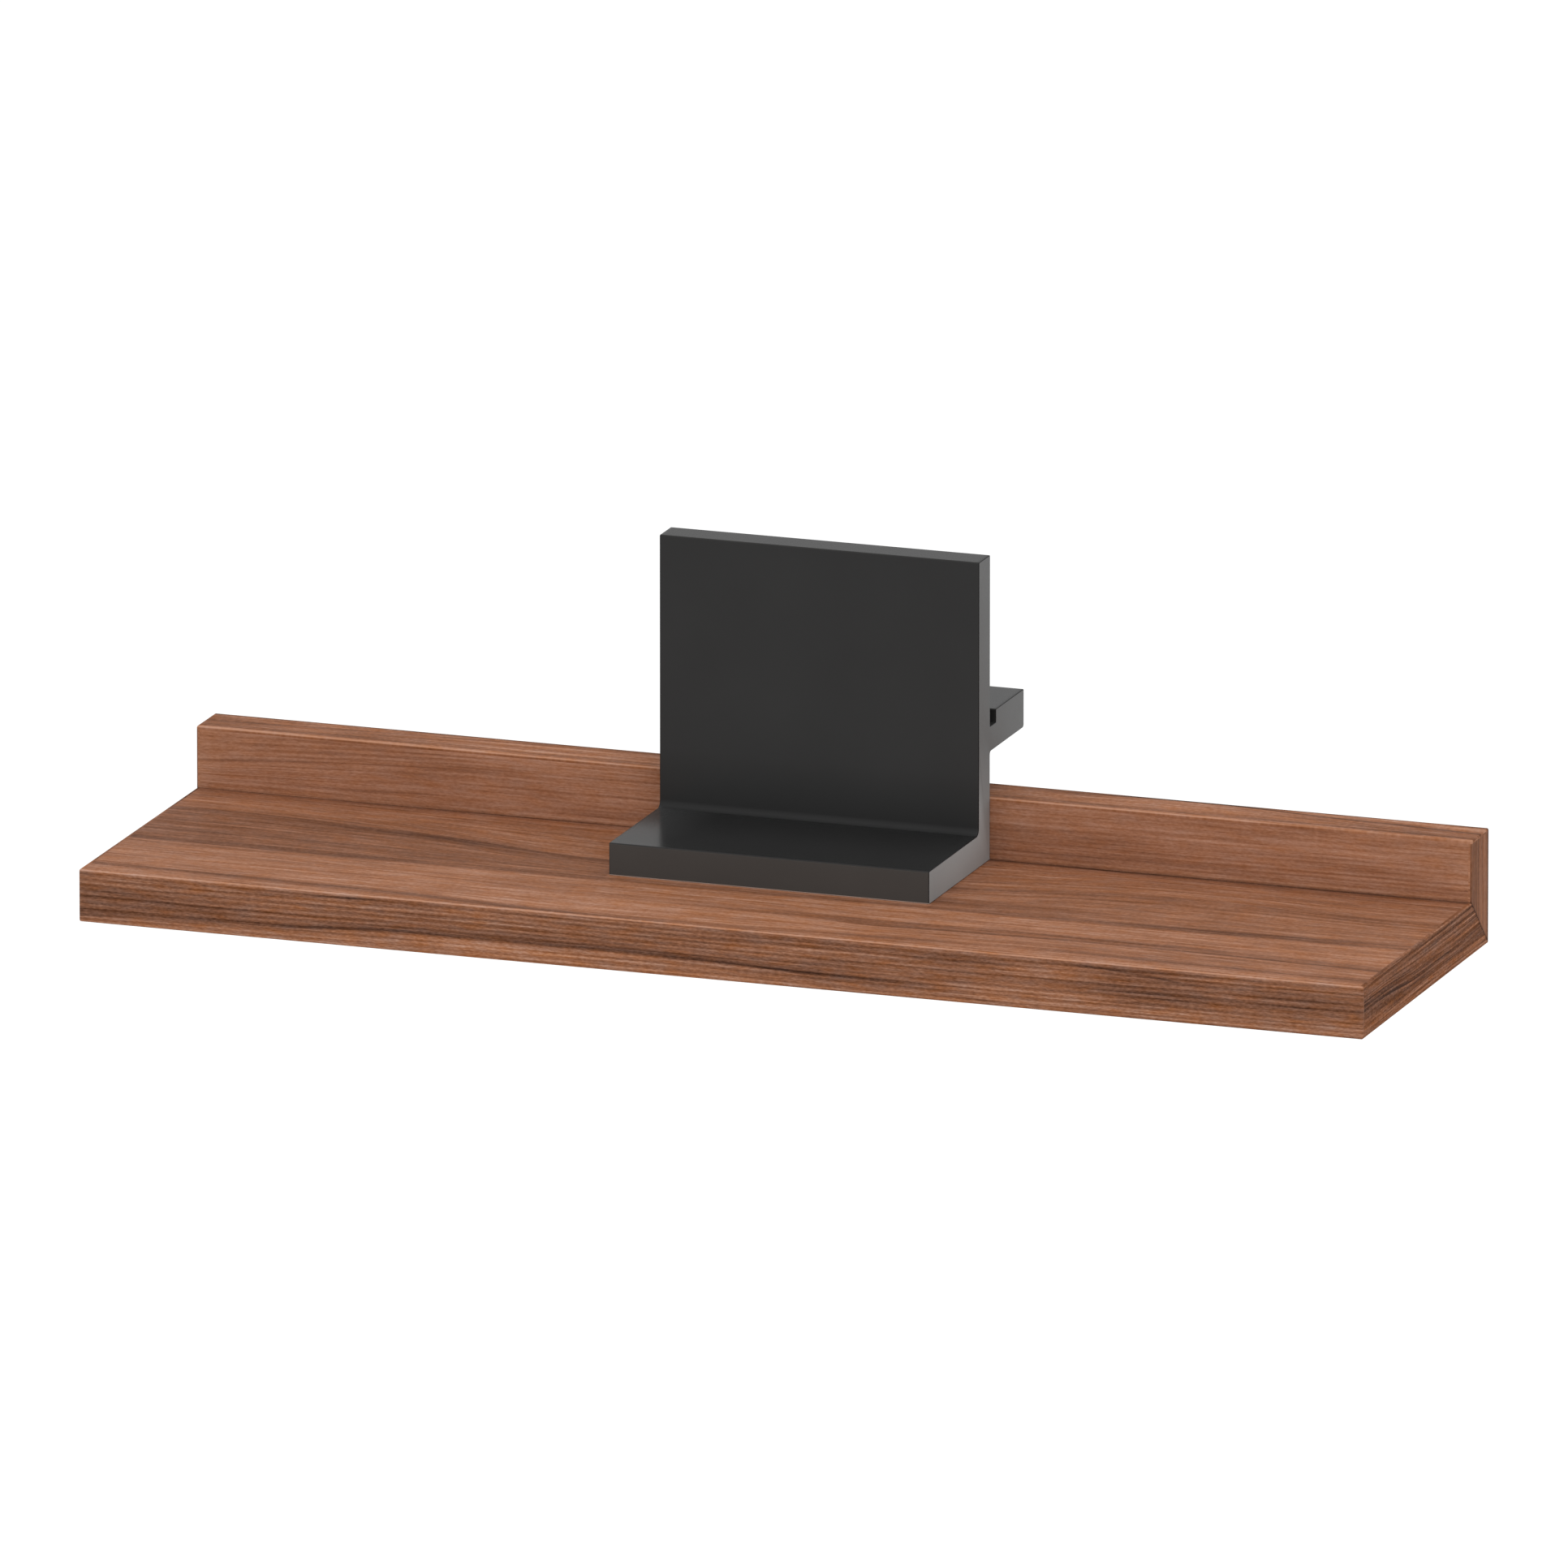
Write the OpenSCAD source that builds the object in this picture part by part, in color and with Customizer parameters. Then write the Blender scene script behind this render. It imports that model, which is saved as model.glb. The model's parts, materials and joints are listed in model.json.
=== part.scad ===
// Small wall shelf with a mitred upstand, carried by an extruded bracket that hangs on a rail.
// X runs along the shelf, +Y points to the wall and +Z is up. The origin is the middle of the underside.

/* [Shelf] */
// Length of the shelf from end to end
shelf_length = 400; // [250:10:900]
// Depth of the shelf from its front edge to the back of the upstand
shelf_depth = 116; // [100:1:200]
// Height of the upstand's top above the underside of the shelf
upstand_height = 35; // [28:0.5:44]
// Thickness of the core boards
core_thickness = 15; // [12:0.5:18]
// Thickness of the veneer on each face
veneer_thickness = 0.5; // [0.3:0.1:1]
// Thickness of the edge bands
band_thickness = 1; // [0.6:0.1:2]
// Radius of the softened outer edges of the bands
arris_radius = 0.5; // [0.2:0.1:0.6]
// Width of the glue line in the mitre
glue_line = 0.1; // [0.04:0.02:0.2]

/* [Bracket] */
// Length of the extruded bracket along the shelf
bracket_length = 100; // [60:5:200]
// Depth of the base from its front edge to the back of the upright
base_depth = 54.5; // [45:0.5:75]
// Thickness of the base
base_thickness = 10; // [8:0.5:14]
// Thickness of the upright
upright_thickness = 10; // [6:0.5:14]
// Height of the upright above the top of the shelf
upright_height = 93; // [70:1:150]
// Height of the arm's underside above the top of the shelf
arm_height = 33; // [31:0.5:45]
// Thickness of the arm
arm_thickness = 11.7; // [8:0.1:16]
// Reach of the arm behind the upright
arm_reach = 30.5; // [20:0.5:45]
// Width of the groove in the arm, for the tongue of the rail
groove_width = 5.3; // [4.5:0.1:8]
// Depth of the groove in the arm
groove_depth = 4; // [3:0.1:5]
// Radius of the inner corner between base and upright
inner_fillet = 2; // [0.5:0.5:5]
// Radius of the corner under the arm and of the arm's lower rear edge
arm_fillet = 1; // [0.5:0.25:3]
// Radius of the softened outer edges of the bracket
bracket_arris = 0.4; // [0.2:0.1:1]
// Running gap between the bracket and the upstand's front
bracket_gap = 0.1; // [0.05:0.05:0.3]

/* [Bracket screws] */
// Outer diameter of the screw thread
screw_diameter = 5; // [4:0.5:6]
// Diameter of the countersunk screw head
head_diameter = 9.2; // [8:0.2:11]
// Length of screw thread that engages in the base
thread_grip = 6; // [4:0.5:6.5]
// Distance of the screws from the ends of the bracket
screw_end_inset = 15; // [12:1:25]
// Distance of the screws from the front and the back of the base
screw_edge_inset = 12; // [10:1:16]
// Width across the flats of the hexagon socket
socket_width = 3; // [2.5:0.5:3.5]
// Depth of the hexagon socket
socket_depth = 1.6; // [1.2:0.1:2]
// Diameter of the cap that closes a screw recess
cap_diameter = 12; // [11.6:0.2:14]
// Thickness of the cap
cap_thickness = 2; // [1.5:0.1:2.5]
// Gap between a screw or cap and the hole around it
hole_clearance = 0.1; // [0.05:0.05:0.2]

/* [Mitre biscuits] */
// Number of biscuits along the mitre
biscuit_count = 3; // [2:1:4]
// Length of a biscuit
biscuit_length = 45; // [40:1:50]
// Width of a biscuit across the joint
biscuit_width = 15; // [13:0.5:15]
// Thickness of a biscuit
biscuit_thickness = 3.8; // [3:0.1:4]
// Distance of the outer biscuits' middles from the ends of the shelf
biscuit_end_inset = 60; // [40:5:70]
// Wood between the inner faces and the biscuit slot
biscuit_cover = 3; // [2.5:0.1:3.2]
// Gap between a biscuit and its slot
biscuit_clearance = 0.1; // [0.05:0.05:0.2]

/* [Hidden] */

$fn = 64;
hex_sides = 6;
through = 1;

board_thickness = core_thickness + 2 * veneer_thickness;
front_y = -shelf_depth / 2;
back_y = shelf_depth / 2;
corner_y = back_y - board_thickness;
glue_shift = glue_line / sqrt(2);
field_length = shelf_length - 2 * band_thickness;

upright_back_y = corner_y - bracket_gap;
base_front_y = upright_back_y - base_depth;
upright_front_y = upright_back_y - upright_thickness;
arm_back_y = upright_back_y + arm_reach;
base_top_z = board_thickness + base_thickness;
arm_under_z = board_thickness + arm_height;
arm_top_z = arm_under_z + arm_thickness;
upright_top_z = board_thickness + upright_height;

screw_radius = screw_diameter / 2;
head_radius = head_diameter / 2;
cap_radius = cap_diameter / 2;
head_height = head_radius - screw_radius;
screw_length = board_thickness - cap_thickness + thread_grip;
tapped_depth = thread_grip + through;
screw_places = [
    for (side = [-1, 1])
        for (y = [base_front_y + screw_edge_inset, upright_back_y - screw_edge_inset])
            [side * (bracket_length / 2 - screw_end_inset), y]
];

biscuit_radius = (pow(biscuit_length / 2, 2) + pow(biscuit_width / 2, 2)) / biscuit_width;
biscuit_along_mitre = biscuit_cover * sqrt(2) + biscuit_thickness / 2;
biscuit_y = corner_y + biscuit_along_mitre / sqrt(2);
biscuit_z = board_thickness - biscuit_along_mitre / sqrt(2);
biscuit_span = shelf_length - 2 * biscuit_end_inset;
biscuit_places = [for (i = [0:biscuit_count - 1]) -biscuit_span / 2 + i * biscuit_span / (biscuit_count - 1)];

// Extrudes a section drawn as (y, z) along X, centred on x = 0
module along_x(length) {
    rotate([90, 0, 90])
        linear_extrude(length, center = true)
            children();
}

// Extrudes a shape drawn as (x, z) along Y, centred on y = 0
module along_y(length) {
    rotate([90, 0, 0])
        linear_extrude(length, center = true)
            children();
}

// Rectangle between two corners, with true arcs of the given radii
// at its lower left, lower right, upper right and upper left corners
module rounded_rectangle(low, high, radii) {
    corners = [low, [high[0], low[1]], high, [low[0], high[1]]];
    difference() {
        translate(low)
            square(high - low);
        for (i = [0:3])
            if (radii[i] > 0)
                translate(corners[i])
                    rotate(90 * i)
                        corner_waste(radii[i]);
    }
}

// Waste outside a quarter circle, for a corner that opens towards +x and +y
module corner_waste(radius) {
    difference() {
        translate([-radius, -radius])
            square(2 * radius);
        translate([radius, radius])
            circle(radius);
        translate([0, radius])
            square(2 * radius);
        translate([radius, 0])
            square(2 * radius);
    }
}

// Section of a layer of the shelf between two heights, cut at 45 degrees behind
module board_section(low_z, high_z, start_y) {
    polygon([
        [start_y, low_z],
        [back_y - low_z - glue_shift, low_z],
        [back_y - high_z - glue_shift, high_z],
        [start_y, high_z]
    ]);
}

// Section of a layer of the upstand between two depths from its back, cut at 45 degrees below
module upstand_section(near_back, far_back, top_z) {
    polygon([
        [back_y - near_back, near_back + glue_shift],
        [back_y - near_back, top_z],
        [back_y - far_back, top_z],
        [back_y - far_back, far_back + glue_shift]
    ]);
}

// Outside of the shelf with every outer edge softened
module board_envelope() {
    arris = arris_radius;
    intersection() {
        along_x(shelf_length)
            rounded_rectangle([front_y, 0], [back_y, board_thickness], [arris, 0, 0, arris]);
        along_y(shelf_depth)
            rounded_rectangle([-shelf_length / 2, 0], [shelf_length / 2, board_thickness],
                [arris, arris, arris, arris]);
        linear_extrude(board_thickness)
            rounded_rectangle([-shelf_length / 2, front_y], [shelf_length / 2, back_y],
                [arris, arris, arris, arris]);
    }
}

// Outside of the upstand with every outer edge softened
module upstand_envelope() {
    arris = arris_radius;
    intersection() {
        along_x(shelf_length)
            rounded_rectangle([corner_y, 0], [back_y, upstand_height], [0, 0, arris, arris]);
        along_y(2 * shelf_depth)
            rounded_rectangle([-shelf_length / 2, 0], [shelf_length / 2, upstand_height],
                [0, 0, arris, arris]);
        linear_extrude(upstand_height)
            rounded_rectangle([-shelf_length / 2, corner_y], [shelf_length / 2, back_y],
                [arris, arris, arris, arris]);
    }
}

// Lens-shaped biscuit, or its slot when grown by a clearance
module biscuit(grow) {
    offset_y = biscuit_radius - biscuit_width / 2;
    rotate([45, 0, 0])
        linear_extrude(biscuit_thickness + 2 * grow, center = true)
            intersection() {
                translate([0, offset_y])
                    circle(biscuit_radius + grow);
                translate([0, -offset_y])
                    circle(biscuit_radius + grow);
            }
}

module biscuit_set(grow) {
    for (x = biscuit_places)
        translate([x, biscuit_y, biscuit_z])
            biscuit(grow);
}

// Recess, countersink and shank hole for one bracket screw, from the underside upwards
module screw_passage() {
    translate([0, 0, -through])
        cylinder(h = through + cap_thickness, r = cap_radius + hole_clearance);
    translate([0, 0, cap_thickness - hole_clearance])
        cylinder(h = head_height + hole_clearance,
            r1 = head_radius + 2 * hole_clearance, r2 = screw_radius + hole_clearance);
    cylinder(h = board_thickness + through, r = screw_radius + hole_clearance);
}

module screw_passages() {
    for (place = screw_places)
        translate([place[0], place[1], 0])
            screw_passage();
}

// Countersunk machine screw with a hexagon socket, head down
module countersunk_screw() {
    difference() {
        union() {
            cylinder(h = head_height, r1 = head_radius, r2 = screw_radius);
            cylinder(h = screw_length, r = screw_radius);
        }
        translate([0, 0, -through])
            cylinder(h = through + socket_depth, r = socket_width / sqrt(3), $fn = hex_sides);
    }
}

// Section of the bracket as (y, z): base, upright and grooved arm, with its edges softened
module bracket_section() {
    soft = bracket_arris;
    difference() {
        union() {
            rounded_rectangle([base_front_y, board_thickness], [upright_back_y, base_top_z],
                [soft, soft, 0, soft]);
            rounded_rectangle([upright_front_y, board_thickness + soft], [upright_back_y, upright_top_z],
                [0, 0, soft, soft]);
            rounded_rectangle([upright_back_y - upright_thickness / 2, arm_under_z], [arm_back_y, arm_top_z],
                [0, arm_fillet, soft, 0]);
            translate([upright_front_y, base_top_z])
                mirror([1, 0])
                    corner_fill(inner_fillet);
            translate([upright_back_y, arm_under_z])
                mirror([0, 1])
                    corner_fill(arm_fillet);
        }
        translate([upright_back_y, arm_top_z - groove_depth])
            square([groove_width, groove_depth + through]);
        translate([upright_back_y + groove_width, arm_top_z])
            rotate(-90)
                corner_waste(soft);
    }
}

// Fill of an inner corner that opens towards +x and +y, with a true arc
module corner_fill(radius) {
    difference() {
        translate([-radius / 2, -radius / 2])
            square(1.5 * radius);
        translate([radius, radius])
            circle(radius);
    }
}

// Band that closes one end of the shelf
module board_end_band(side) {
    intersection() {
        translate([side * (shelf_length - band_thickness) / 2, 0, 0])
            along_x(band_thickness)
                board_section(0, board_thickness, front_y + band_thickness);
        board_envelope();
    }
}

// Band that closes one end of the upstand
module upstand_end_band(side) {
    intersection() {
        translate([side * (shelf_length - band_thickness) / 2, 0, 0])
            along_x(band_thickness)
                upstand_section(0, board_thickness, upstand_height - band_thickness);
        upstand_envelope();
    }
}

module board_core() {
    color("burlywood")
        difference() {
            along_x(field_length)
                board_section(veneer_thickness, board_thickness - veneer_thickness, front_y + band_thickness);
            screw_passages();
            biscuit_set(biscuit_clearance);
        }
}

module upstand_core() {
    color("burlywood")
        difference() {
            along_x(field_length)
                upstand_section(veneer_thickness, board_thickness - veneer_thickness,
                    upstand_height - band_thickness);
            biscuit_set(biscuit_clearance);
        }
}

module board_top_veneer() {
    color("sienna")
        difference() {
            along_x(field_length)
                board_section(board_thickness - veneer_thickness, board_thickness, front_y + band_thickness);
            screw_passages();
        }
}

module board_underside_veneer() {
    color("sienna")
        difference() {
            along_x(field_length)
                board_section(0, veneer_thickness, front_y + band_thickness);
            screw_passages();
        }
}

module upstand_front_veneer() {
    color("sienna")
        along_x(field_length)
            upstand_section(board_thickness - veneer_thickness, board_thickness,
                upstand_height - band_thickness);
}

module upstand_back_veneer() {
    color("sienna")
        along_x(field_length)
            upstand_section(0, veneer_thickness, upstand_height - band_thickness);
}

module front_edge_band() {
    color("saddlebrown")
        intersection() {
            translate([-shelf_length / 2, front_y, 0])
                cube([shelf_length, band_thickness, board_thickness]);
            board_envelope();
        }
}

module upstand_top_band() {
    color("peru")
        intersection() {
            translate([-shelf_length / 2, corner_y, upstand_height - band_thickness])
                cube([shelf_length, board_thickness, band_thickness]);
            upstand_envelope();
        }
}

module board_left_band() {
    color("saddlebrown")
        board_end_band(-1);
}

module board_right_band() {
    color("saddlebrown")
        board_end_band(1);
}

module upstand_left_band() {
    color("saddlebrown")
        upstand_end_band(-1);
}

module upstand_right_band() {
    color("saddlebrown")
        upstand_end_band(1);
}

module mitre_biscuits() {
    color("wheat")
        biscuit_set(0);
}

module rail_bracket() {
    color("dimgray")
        difference() {
            along_x(bracket_length)
                bracket_section();
            for (place = screw_places)
                translate([place[0], place[1], board_thickness - through])
                    cylinder(h = through + tapped_depth, r = screw_radius + hole_clearance);
        }
}

module bracket_screws() {
    color("silver")
        for (place = screw_places)
            translate([place[0], place[1], cap_thickness])
                countersunk_screw();
}

module screw_caps() {
    color("brown")
        for (place = screw_places)
            translate([place[0], place[1], 0])
                cylinder(h = cap_thickness - hole_clearance, r = cap_radius);
}

board_core();
upstand_core();
board_top_veneer();
board_underside_veneer();
upstand_front_veneer();
upstand_back_veneer();
front_edge_band();
upstand_top_band();
board_left_band();
board_right_band();
upstand_left_band();
upstand_right_band();
mitre_biscuits();
rail_bracket();
bracket_screws();
screw_caps();
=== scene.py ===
# %% [markdown]
# # A walnut wall shelf on a black bracket
#
# The real object is a small shelf for a bathroom: a veneered board with a low upstand behind it,
# and a black metal bracket that hangs the shelf on a rail. Its solids were made to size beforehand,
# so this lesson only dresses them. We load them first, as a fixed frame. We could also model the
# shelf again from its numbers, but a frame that never moves keeps every new piece in its place.

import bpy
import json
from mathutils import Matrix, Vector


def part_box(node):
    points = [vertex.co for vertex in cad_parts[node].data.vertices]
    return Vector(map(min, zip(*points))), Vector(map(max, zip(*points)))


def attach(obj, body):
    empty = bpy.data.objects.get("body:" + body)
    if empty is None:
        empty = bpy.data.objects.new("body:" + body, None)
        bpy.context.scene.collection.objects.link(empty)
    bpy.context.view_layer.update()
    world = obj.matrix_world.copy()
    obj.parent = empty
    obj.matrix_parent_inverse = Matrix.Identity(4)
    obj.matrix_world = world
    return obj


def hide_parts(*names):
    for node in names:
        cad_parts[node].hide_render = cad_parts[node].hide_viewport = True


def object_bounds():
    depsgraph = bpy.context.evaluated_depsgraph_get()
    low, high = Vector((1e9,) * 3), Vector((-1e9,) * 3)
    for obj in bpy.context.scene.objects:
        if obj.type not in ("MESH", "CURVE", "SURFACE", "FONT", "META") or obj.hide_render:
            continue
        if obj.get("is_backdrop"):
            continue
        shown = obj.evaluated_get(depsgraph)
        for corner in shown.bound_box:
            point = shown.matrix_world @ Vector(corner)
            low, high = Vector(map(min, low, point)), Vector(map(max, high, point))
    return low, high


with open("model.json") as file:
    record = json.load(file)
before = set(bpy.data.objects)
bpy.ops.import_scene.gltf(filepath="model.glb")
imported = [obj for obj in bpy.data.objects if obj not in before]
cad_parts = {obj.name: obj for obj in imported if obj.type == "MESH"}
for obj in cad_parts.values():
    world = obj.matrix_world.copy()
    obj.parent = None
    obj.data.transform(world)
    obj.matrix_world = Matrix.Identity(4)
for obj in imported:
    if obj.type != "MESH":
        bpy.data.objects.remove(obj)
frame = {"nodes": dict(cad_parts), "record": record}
cad_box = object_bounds()
print("solids in the frame:", len(frame["nodes"]))

# %% [markdown]
# ## The tools
#
# Blender's own module makes the objects, and numpy works out their points as whole arrays. The
# frame's sizes are given in metres. A maker thinks in millimetres, so the lengths of the shelf are
# given in these, and only the camera, the lamp and the floor are placed in metres. What lies NEAR a
# face, within a hundredth of a millimetre, counts as lying on it.

# %% Bring in the tools
import json
import math

import bpy
import numpy as np
from mathutils import Vector

MM = 0.001
NEAR = 0.01
BODY = "root"


def add_object(name, data):
    """New object in the scene, at the origin."""
    added = bpy.data.objects.new(name, data)
    bpy.context.scene.collection.objects.link(added)
    return added


print("their names:", ", ".join(sorted(frame["nodes"])))

# %% [markdown]
# ## The camera
#
# The picture shows the shelf from its right, a little from above, and its long edges hardly run
# together. Such a flat view comes from a long lens far away. We could judge the angle by eye, but
# the corners of the solids, fitted to their places in the picture, give it to a tenth of a degree.

# %% Place the camera
AZIMUTH = math.radians(19.481)
ELEVATION = math.radians(14.808)
DISTANCE = 11.0244
LENS = 858.857
SENSOR_WIDTH = 36.0
FARTHEST = 60.0
AIM = Vector((0.0003, 0.0, 0.0452))

towards_camera = Vector((
    math.sin(AZIMUTH) * math.cos(ELEVATION),
    -math.cos(AZIMUTH) * math.cos(ELEVATION),
    math.sin(ELEVATION),
))
camera = add_object("camera", bpy.data.cameras.new("camera"))
camera.data.sensor_width = SENSOR_WIDTH
camera.data.lens = LENS
camera.data.clip_end = FARTHEST
camera.location = AIM + towards_camera * DISTANCE
camera.rotation_euler = (-towards_camera).to_track_quat("-Z", "Y").to_euler()
bpy.context.scene.camera = camera
print("camera stands at", tuple(round(value, 3) for value in camera.location), "m")

# %% [markdown]
# ## The sizes
#
# A new piece has to lie exactly where its solid lies. We could type the sizes again, but then they
# might differ from the solids one day. Reading them from the boxes of the solids is safer. Only what
# a box doesn't tell, such as the radius of a softened edge, is written here.

# %% Read the sizes of the wood


def corners_of(node):
    """Lowest and highest corner of a solid, in millimetres."""
    low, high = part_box(node)
    return np.round(np.array(low) / MM, 4), np.round(np.array(high) / MM, 4)


band_low, band_high = corners_of("front_edge_band")
crown_low, crown_high = corners_of("upstand_top_band")
sheet_high = corners_of("board_underside_veneer")[1]

HALF_LENGTH = band_high[0]
FRONT_Y = band_low[1]
CORNER_Y = crown_low[1]
BACK_Y = crown_high[1]
BOARD_TOP = band_high[2]
UPSTAND_TOP = crown_high[2]
BAND = band_high[1] - band_low[1]
VENEER = sheet_high[2]
GLUE = BACK_Y - sheet_high[1]
ARRIS = 0.5
FIELD = HALF_LENGTH - BAND
print(f"shelf {2 * HALF_LENGTH:g} x {BACK_Y - FRONT_Y:g} mm")
print(f"board {BOARD_TOP:g} mm thick, upstand {UPSTAND_TOP:g} mm high")

# %% Read the sizes of the bracket
bracket_low, bracket_high = corners_of("rail_bracket")
mounts = {mount["name"]: np.array(mount["pos_m"]) / MM for mount in frame["record"]["mounts"]}

PLATE = 10.0
ARM = 11.7
GROOVE = 5.3
FOOT_ROUND = 2.0
ARM_ROUND = 1.0
GROOVE_ROUND = 0.15
BRACKET_ARRIS = 0.4
SAWN_ARRIS = 0.25
UPRIGHT_BACK_Y = round(mounts["upright_back"][1], 4)
ARM_UNDER_Z = round(mounts["arm_underside"][2], 4)
GROOVE_FLOOR_Z = round(mounts["rail_groove"][2], 4)
SCREW_X = 35.0
SCREW_ROWS = (-0.6, 29.9)
SCREW_PLACES = [(x, y) for x in (-SCREW_X, SCREW_X) for y in SCREW_ROWS]
SHANK_HOLE = 2.6
CAP_HOLE = 6.1
CAP_RADIUS = 6.0
TAPPED_DEPTH = 7.0
print(f"bracket {2 * bracket_high[0]:g} mm long, its arm from z = {ARM_UNDER_Z:g} mm upwards")
print(f"groove floor at z = {GROOVE_FLOOR_Z:g} mm")

# %% [markdown]
# ## A skin of points and faces
#
# Every piece here is a section carried along a straight line: a band, a sheet of veneer, an
# extruded bracket. We could start from cubes and bevel them, but then the number and the places of
# the points are left to the modifiers. We keep the points in a grid instead, one row for each place
# along the line. So we know each point's number, and can cut a hole where we want one.

# %% Gather points and faces


class Skin:
    """Points and faces of one closed piece, gathered block by block."""

    def __init__(self):
        self.points = np.zeros((0, 3))
        self.faces = []

    def add_points(self, block):
        """Add an array of points and return their numbers in the same layout."""
        first = len(self.points)
        flat = block.reshape(-1, 3)
        self.points = np.concatenate([self.points, flat])
        return first + np.arange(len(flat)).reshape(block.shape[:-1])

    def join(self, loop, next_loop):
        """Quads between two closed loops of equal length.

        Quad k takes points k and k + 1 of the first loop, then k + 1 and k of the second."""
        quads = np.stack([loop, np.roll(loop, -1), np.roll(next_loop, -1), next_loop], axis=-1)
        self.faces += quads.tolist()

    def close(self, loop):
        """One flat face inside a closed loop."""
        self.faces.append(loop.tolist())

    def carry(self, rows, holes=()):
        """Skin of a closed section carried along a line, with a flat face at both ends.

        rows[s, n] is point n of the section at place s. Quad (s, n) takes the points (s, n),
        (s, n + 1), (s + 1, n + 1) and (s + 1, n). A hole leaves out the quads of its patch."""
        numbers = self.add_points(rows)
        around = np.roll(numbers, -1, axis=1)
        quads = np.stack([numbers[:-1], around[:-1], around[1:], numbers[1:]], axis=-1)
        kept = np.ones(quads.shape[:2], bool)
        for first_row, last_row, first_column, last_column in holes:
            kept[first_row:last_row, first_column:last_column] = False
        self.faces += quads[kept].tolist()
        self.close(numbers[0][::-1])
        self.close(numbers[-1])
        return numbers


square = np.array([(0, 0, 0), (0, 1, 0), (0, 1, 1), (0, 0, 1)], float)
trial = Skin()
trial.carry(np.stack([square, square + (1, 0, 0)]))
print("a square carried one step:", len(trial.points), "points and", len(trial.faces), "faces")

# %% [markdown]
# ## Round holes in a grid
#
# Screws pass through the veneers into the bracket, and caps sit in round recesses. Blender's Boolean
# modifier could cut them, at the price of long thin faces round each hole. In a grid it is simpler:
# leave out a square patch of quads, and join its rim to as many points on a circle.

# %% Patches and circles
SHANK_PATCH = 4.5
CAP_PATCH = 9.0


def nearest(values, target):
    """Number of the value that lies nearest to the target."""
    return int(np.argmin(np.abs(np.asarray(values) - target)))


def patch_round(places, across, centre, half, first=0):
    """Patch of the grid within half a side of a centre: first and last row, first and last column."""
    rows = [nearest(places, centre[0] + side * half) for side in (-1, 1)]
    columns = [first + nearest(across, centre[1] + side * half) for side in (-1, 1)]
    return min(rows), max(rows), min(columns), max(columns)


def rim_of(patch):
    """Row and column numbers round a patch, in the direction in which its quads turn."""
    top, bottom, left, right = patch
    rows = [np.full(right - left, top), np.arange(top, bottom)]
    rows += [np.full(right - left, bottom), np.arange(bottom, top, -1)]
    columns = [np.arange(left, right), np.full(bottom - top, right)]
    columns += [np.arange(right, left, -1), np.full(bottom - top, left)]
    return np.concatenate(rows), np.concatenate(columns)


def circle_facing(rim_points, centre, radius, height):
    """Points on a level circle, each at the angle at which its rim point is seen from the centre."""
    angle = np.arctan2(rim_points[:, 1] - centre[1], rim_points[:, 0] - centre[0])
    return np.stack([
        centre[0] + radius * np.cos(angle),
        centre[1] + radius * np.sin(angle),
        np.full(len(angle), height),
    ], axis=-1)


print("points round a patch of 2 by 3 quads:", len(rim_of((0, 2, 0, 3))[0]))

# %% [markdown]
# ## Sections with rounded corners
#
# No edge of a real shelf is sharp: a band is eased with sandpaper, and an extrusion leaves its die
# with small radii. These edges catch a thin line of light, so they are worth real points. A Bevel
# modifier would round every corner alike. Here each corner gets its own radius and a true arc.

# %% Straight runs between corners


def unit(vectors):
    """Vectors divided by their own lengths."""
    return vectors / np.linalg.norm(vectors, axis=-1, keepdims=True)


def straight_run(start, end, spacing, support=0.15):
    """Points between two ends: one at the support's distance from each, the others evenly spread."""
    length = float(np.linalg.norm(end - start))
    if length < 4 * support:
        return np.zeros((0, 2))
    count = max(2, int(np.ceil((length - 2 * support) / spacing)) + 1)
    share = np.linspace(support, length - support, count)[:, None] / length
    return start + (end - start) * share


trial = straight_run(np.zeros(2), np.array([10.0, 0.0]), spacing=1.0)
print("points on a run of 10 mm, at most 1 mm apart:", len(trial))

# %% Draw a rounded section


def rounded_outline(corners, radii, spacing, steps=6):
    """Closed outline through corners in anticlockwise order, and its outward normals.

    At a corner C the sides leave in the unit directions a and b with the angle w between them. A
    round of radius r touches them at C + a t and C + b t, where t = r / tan(w / 2). Its middle is
    C + (a + b) / |a + b| * r / sin(w / 2), and its points turn evenly from one touch to the other."""
    corners = np.array(corners, float)
    radii = np.array(radii, float)
    back = unit(np.roll(corners, 1, axis=0) - corners)
    ahead = unit(np.roll(corners, -1, axis=0) - corners)
    half_angle = np.arccos(np.sum(back * ahead, axis=1)) / 2
    reach = (radii / np.tan(half_angle))[:, None]
    starts = corners + back * reach
    ends = corners + ahead * reach
    middles = corners + unit(back + ahead) * (radii / np.sin(half_angle))[:, None]
    bulge = np.sign(ahead[:, 0] * back[:, 1] - ahead[:, 1] * back[:, 0])
    points = []
    normals = []
    for k, radius in enumerate(radii):
        following = (k + 1) % len(corners)
        outward = np.array([ahead[k, 1], -ahead[k, 0]])
        if radius > 0:
            turn = np.pi - 2 * half_angle[k]
            share = np.linspace(0, 1, steps + 1)[:, None]
            spokes = np.sin((1 - share) * turn) * (starts[k] - middles[k])
            spokes = (spokes + np.sin(share * turn) * (ends[k] - middles[k])) / np.sin(turn)
            points.append(middles[k] + spokes)
            normals.append(bulge[k] * spokes / radius)
        else:
            points.append(corners[k:k + 1])
            normals.append(-unit(back[k:k + 1] + ahead[k:k + 1]) * bulge[k])
        run = straight_run(ends[k], starts[following], spacing)
        points.append(run)
        normals.append(np.repeat(outward[None], len(run), axis=0))
    return np.concatenate(points), np.concatenate(normals)


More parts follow.
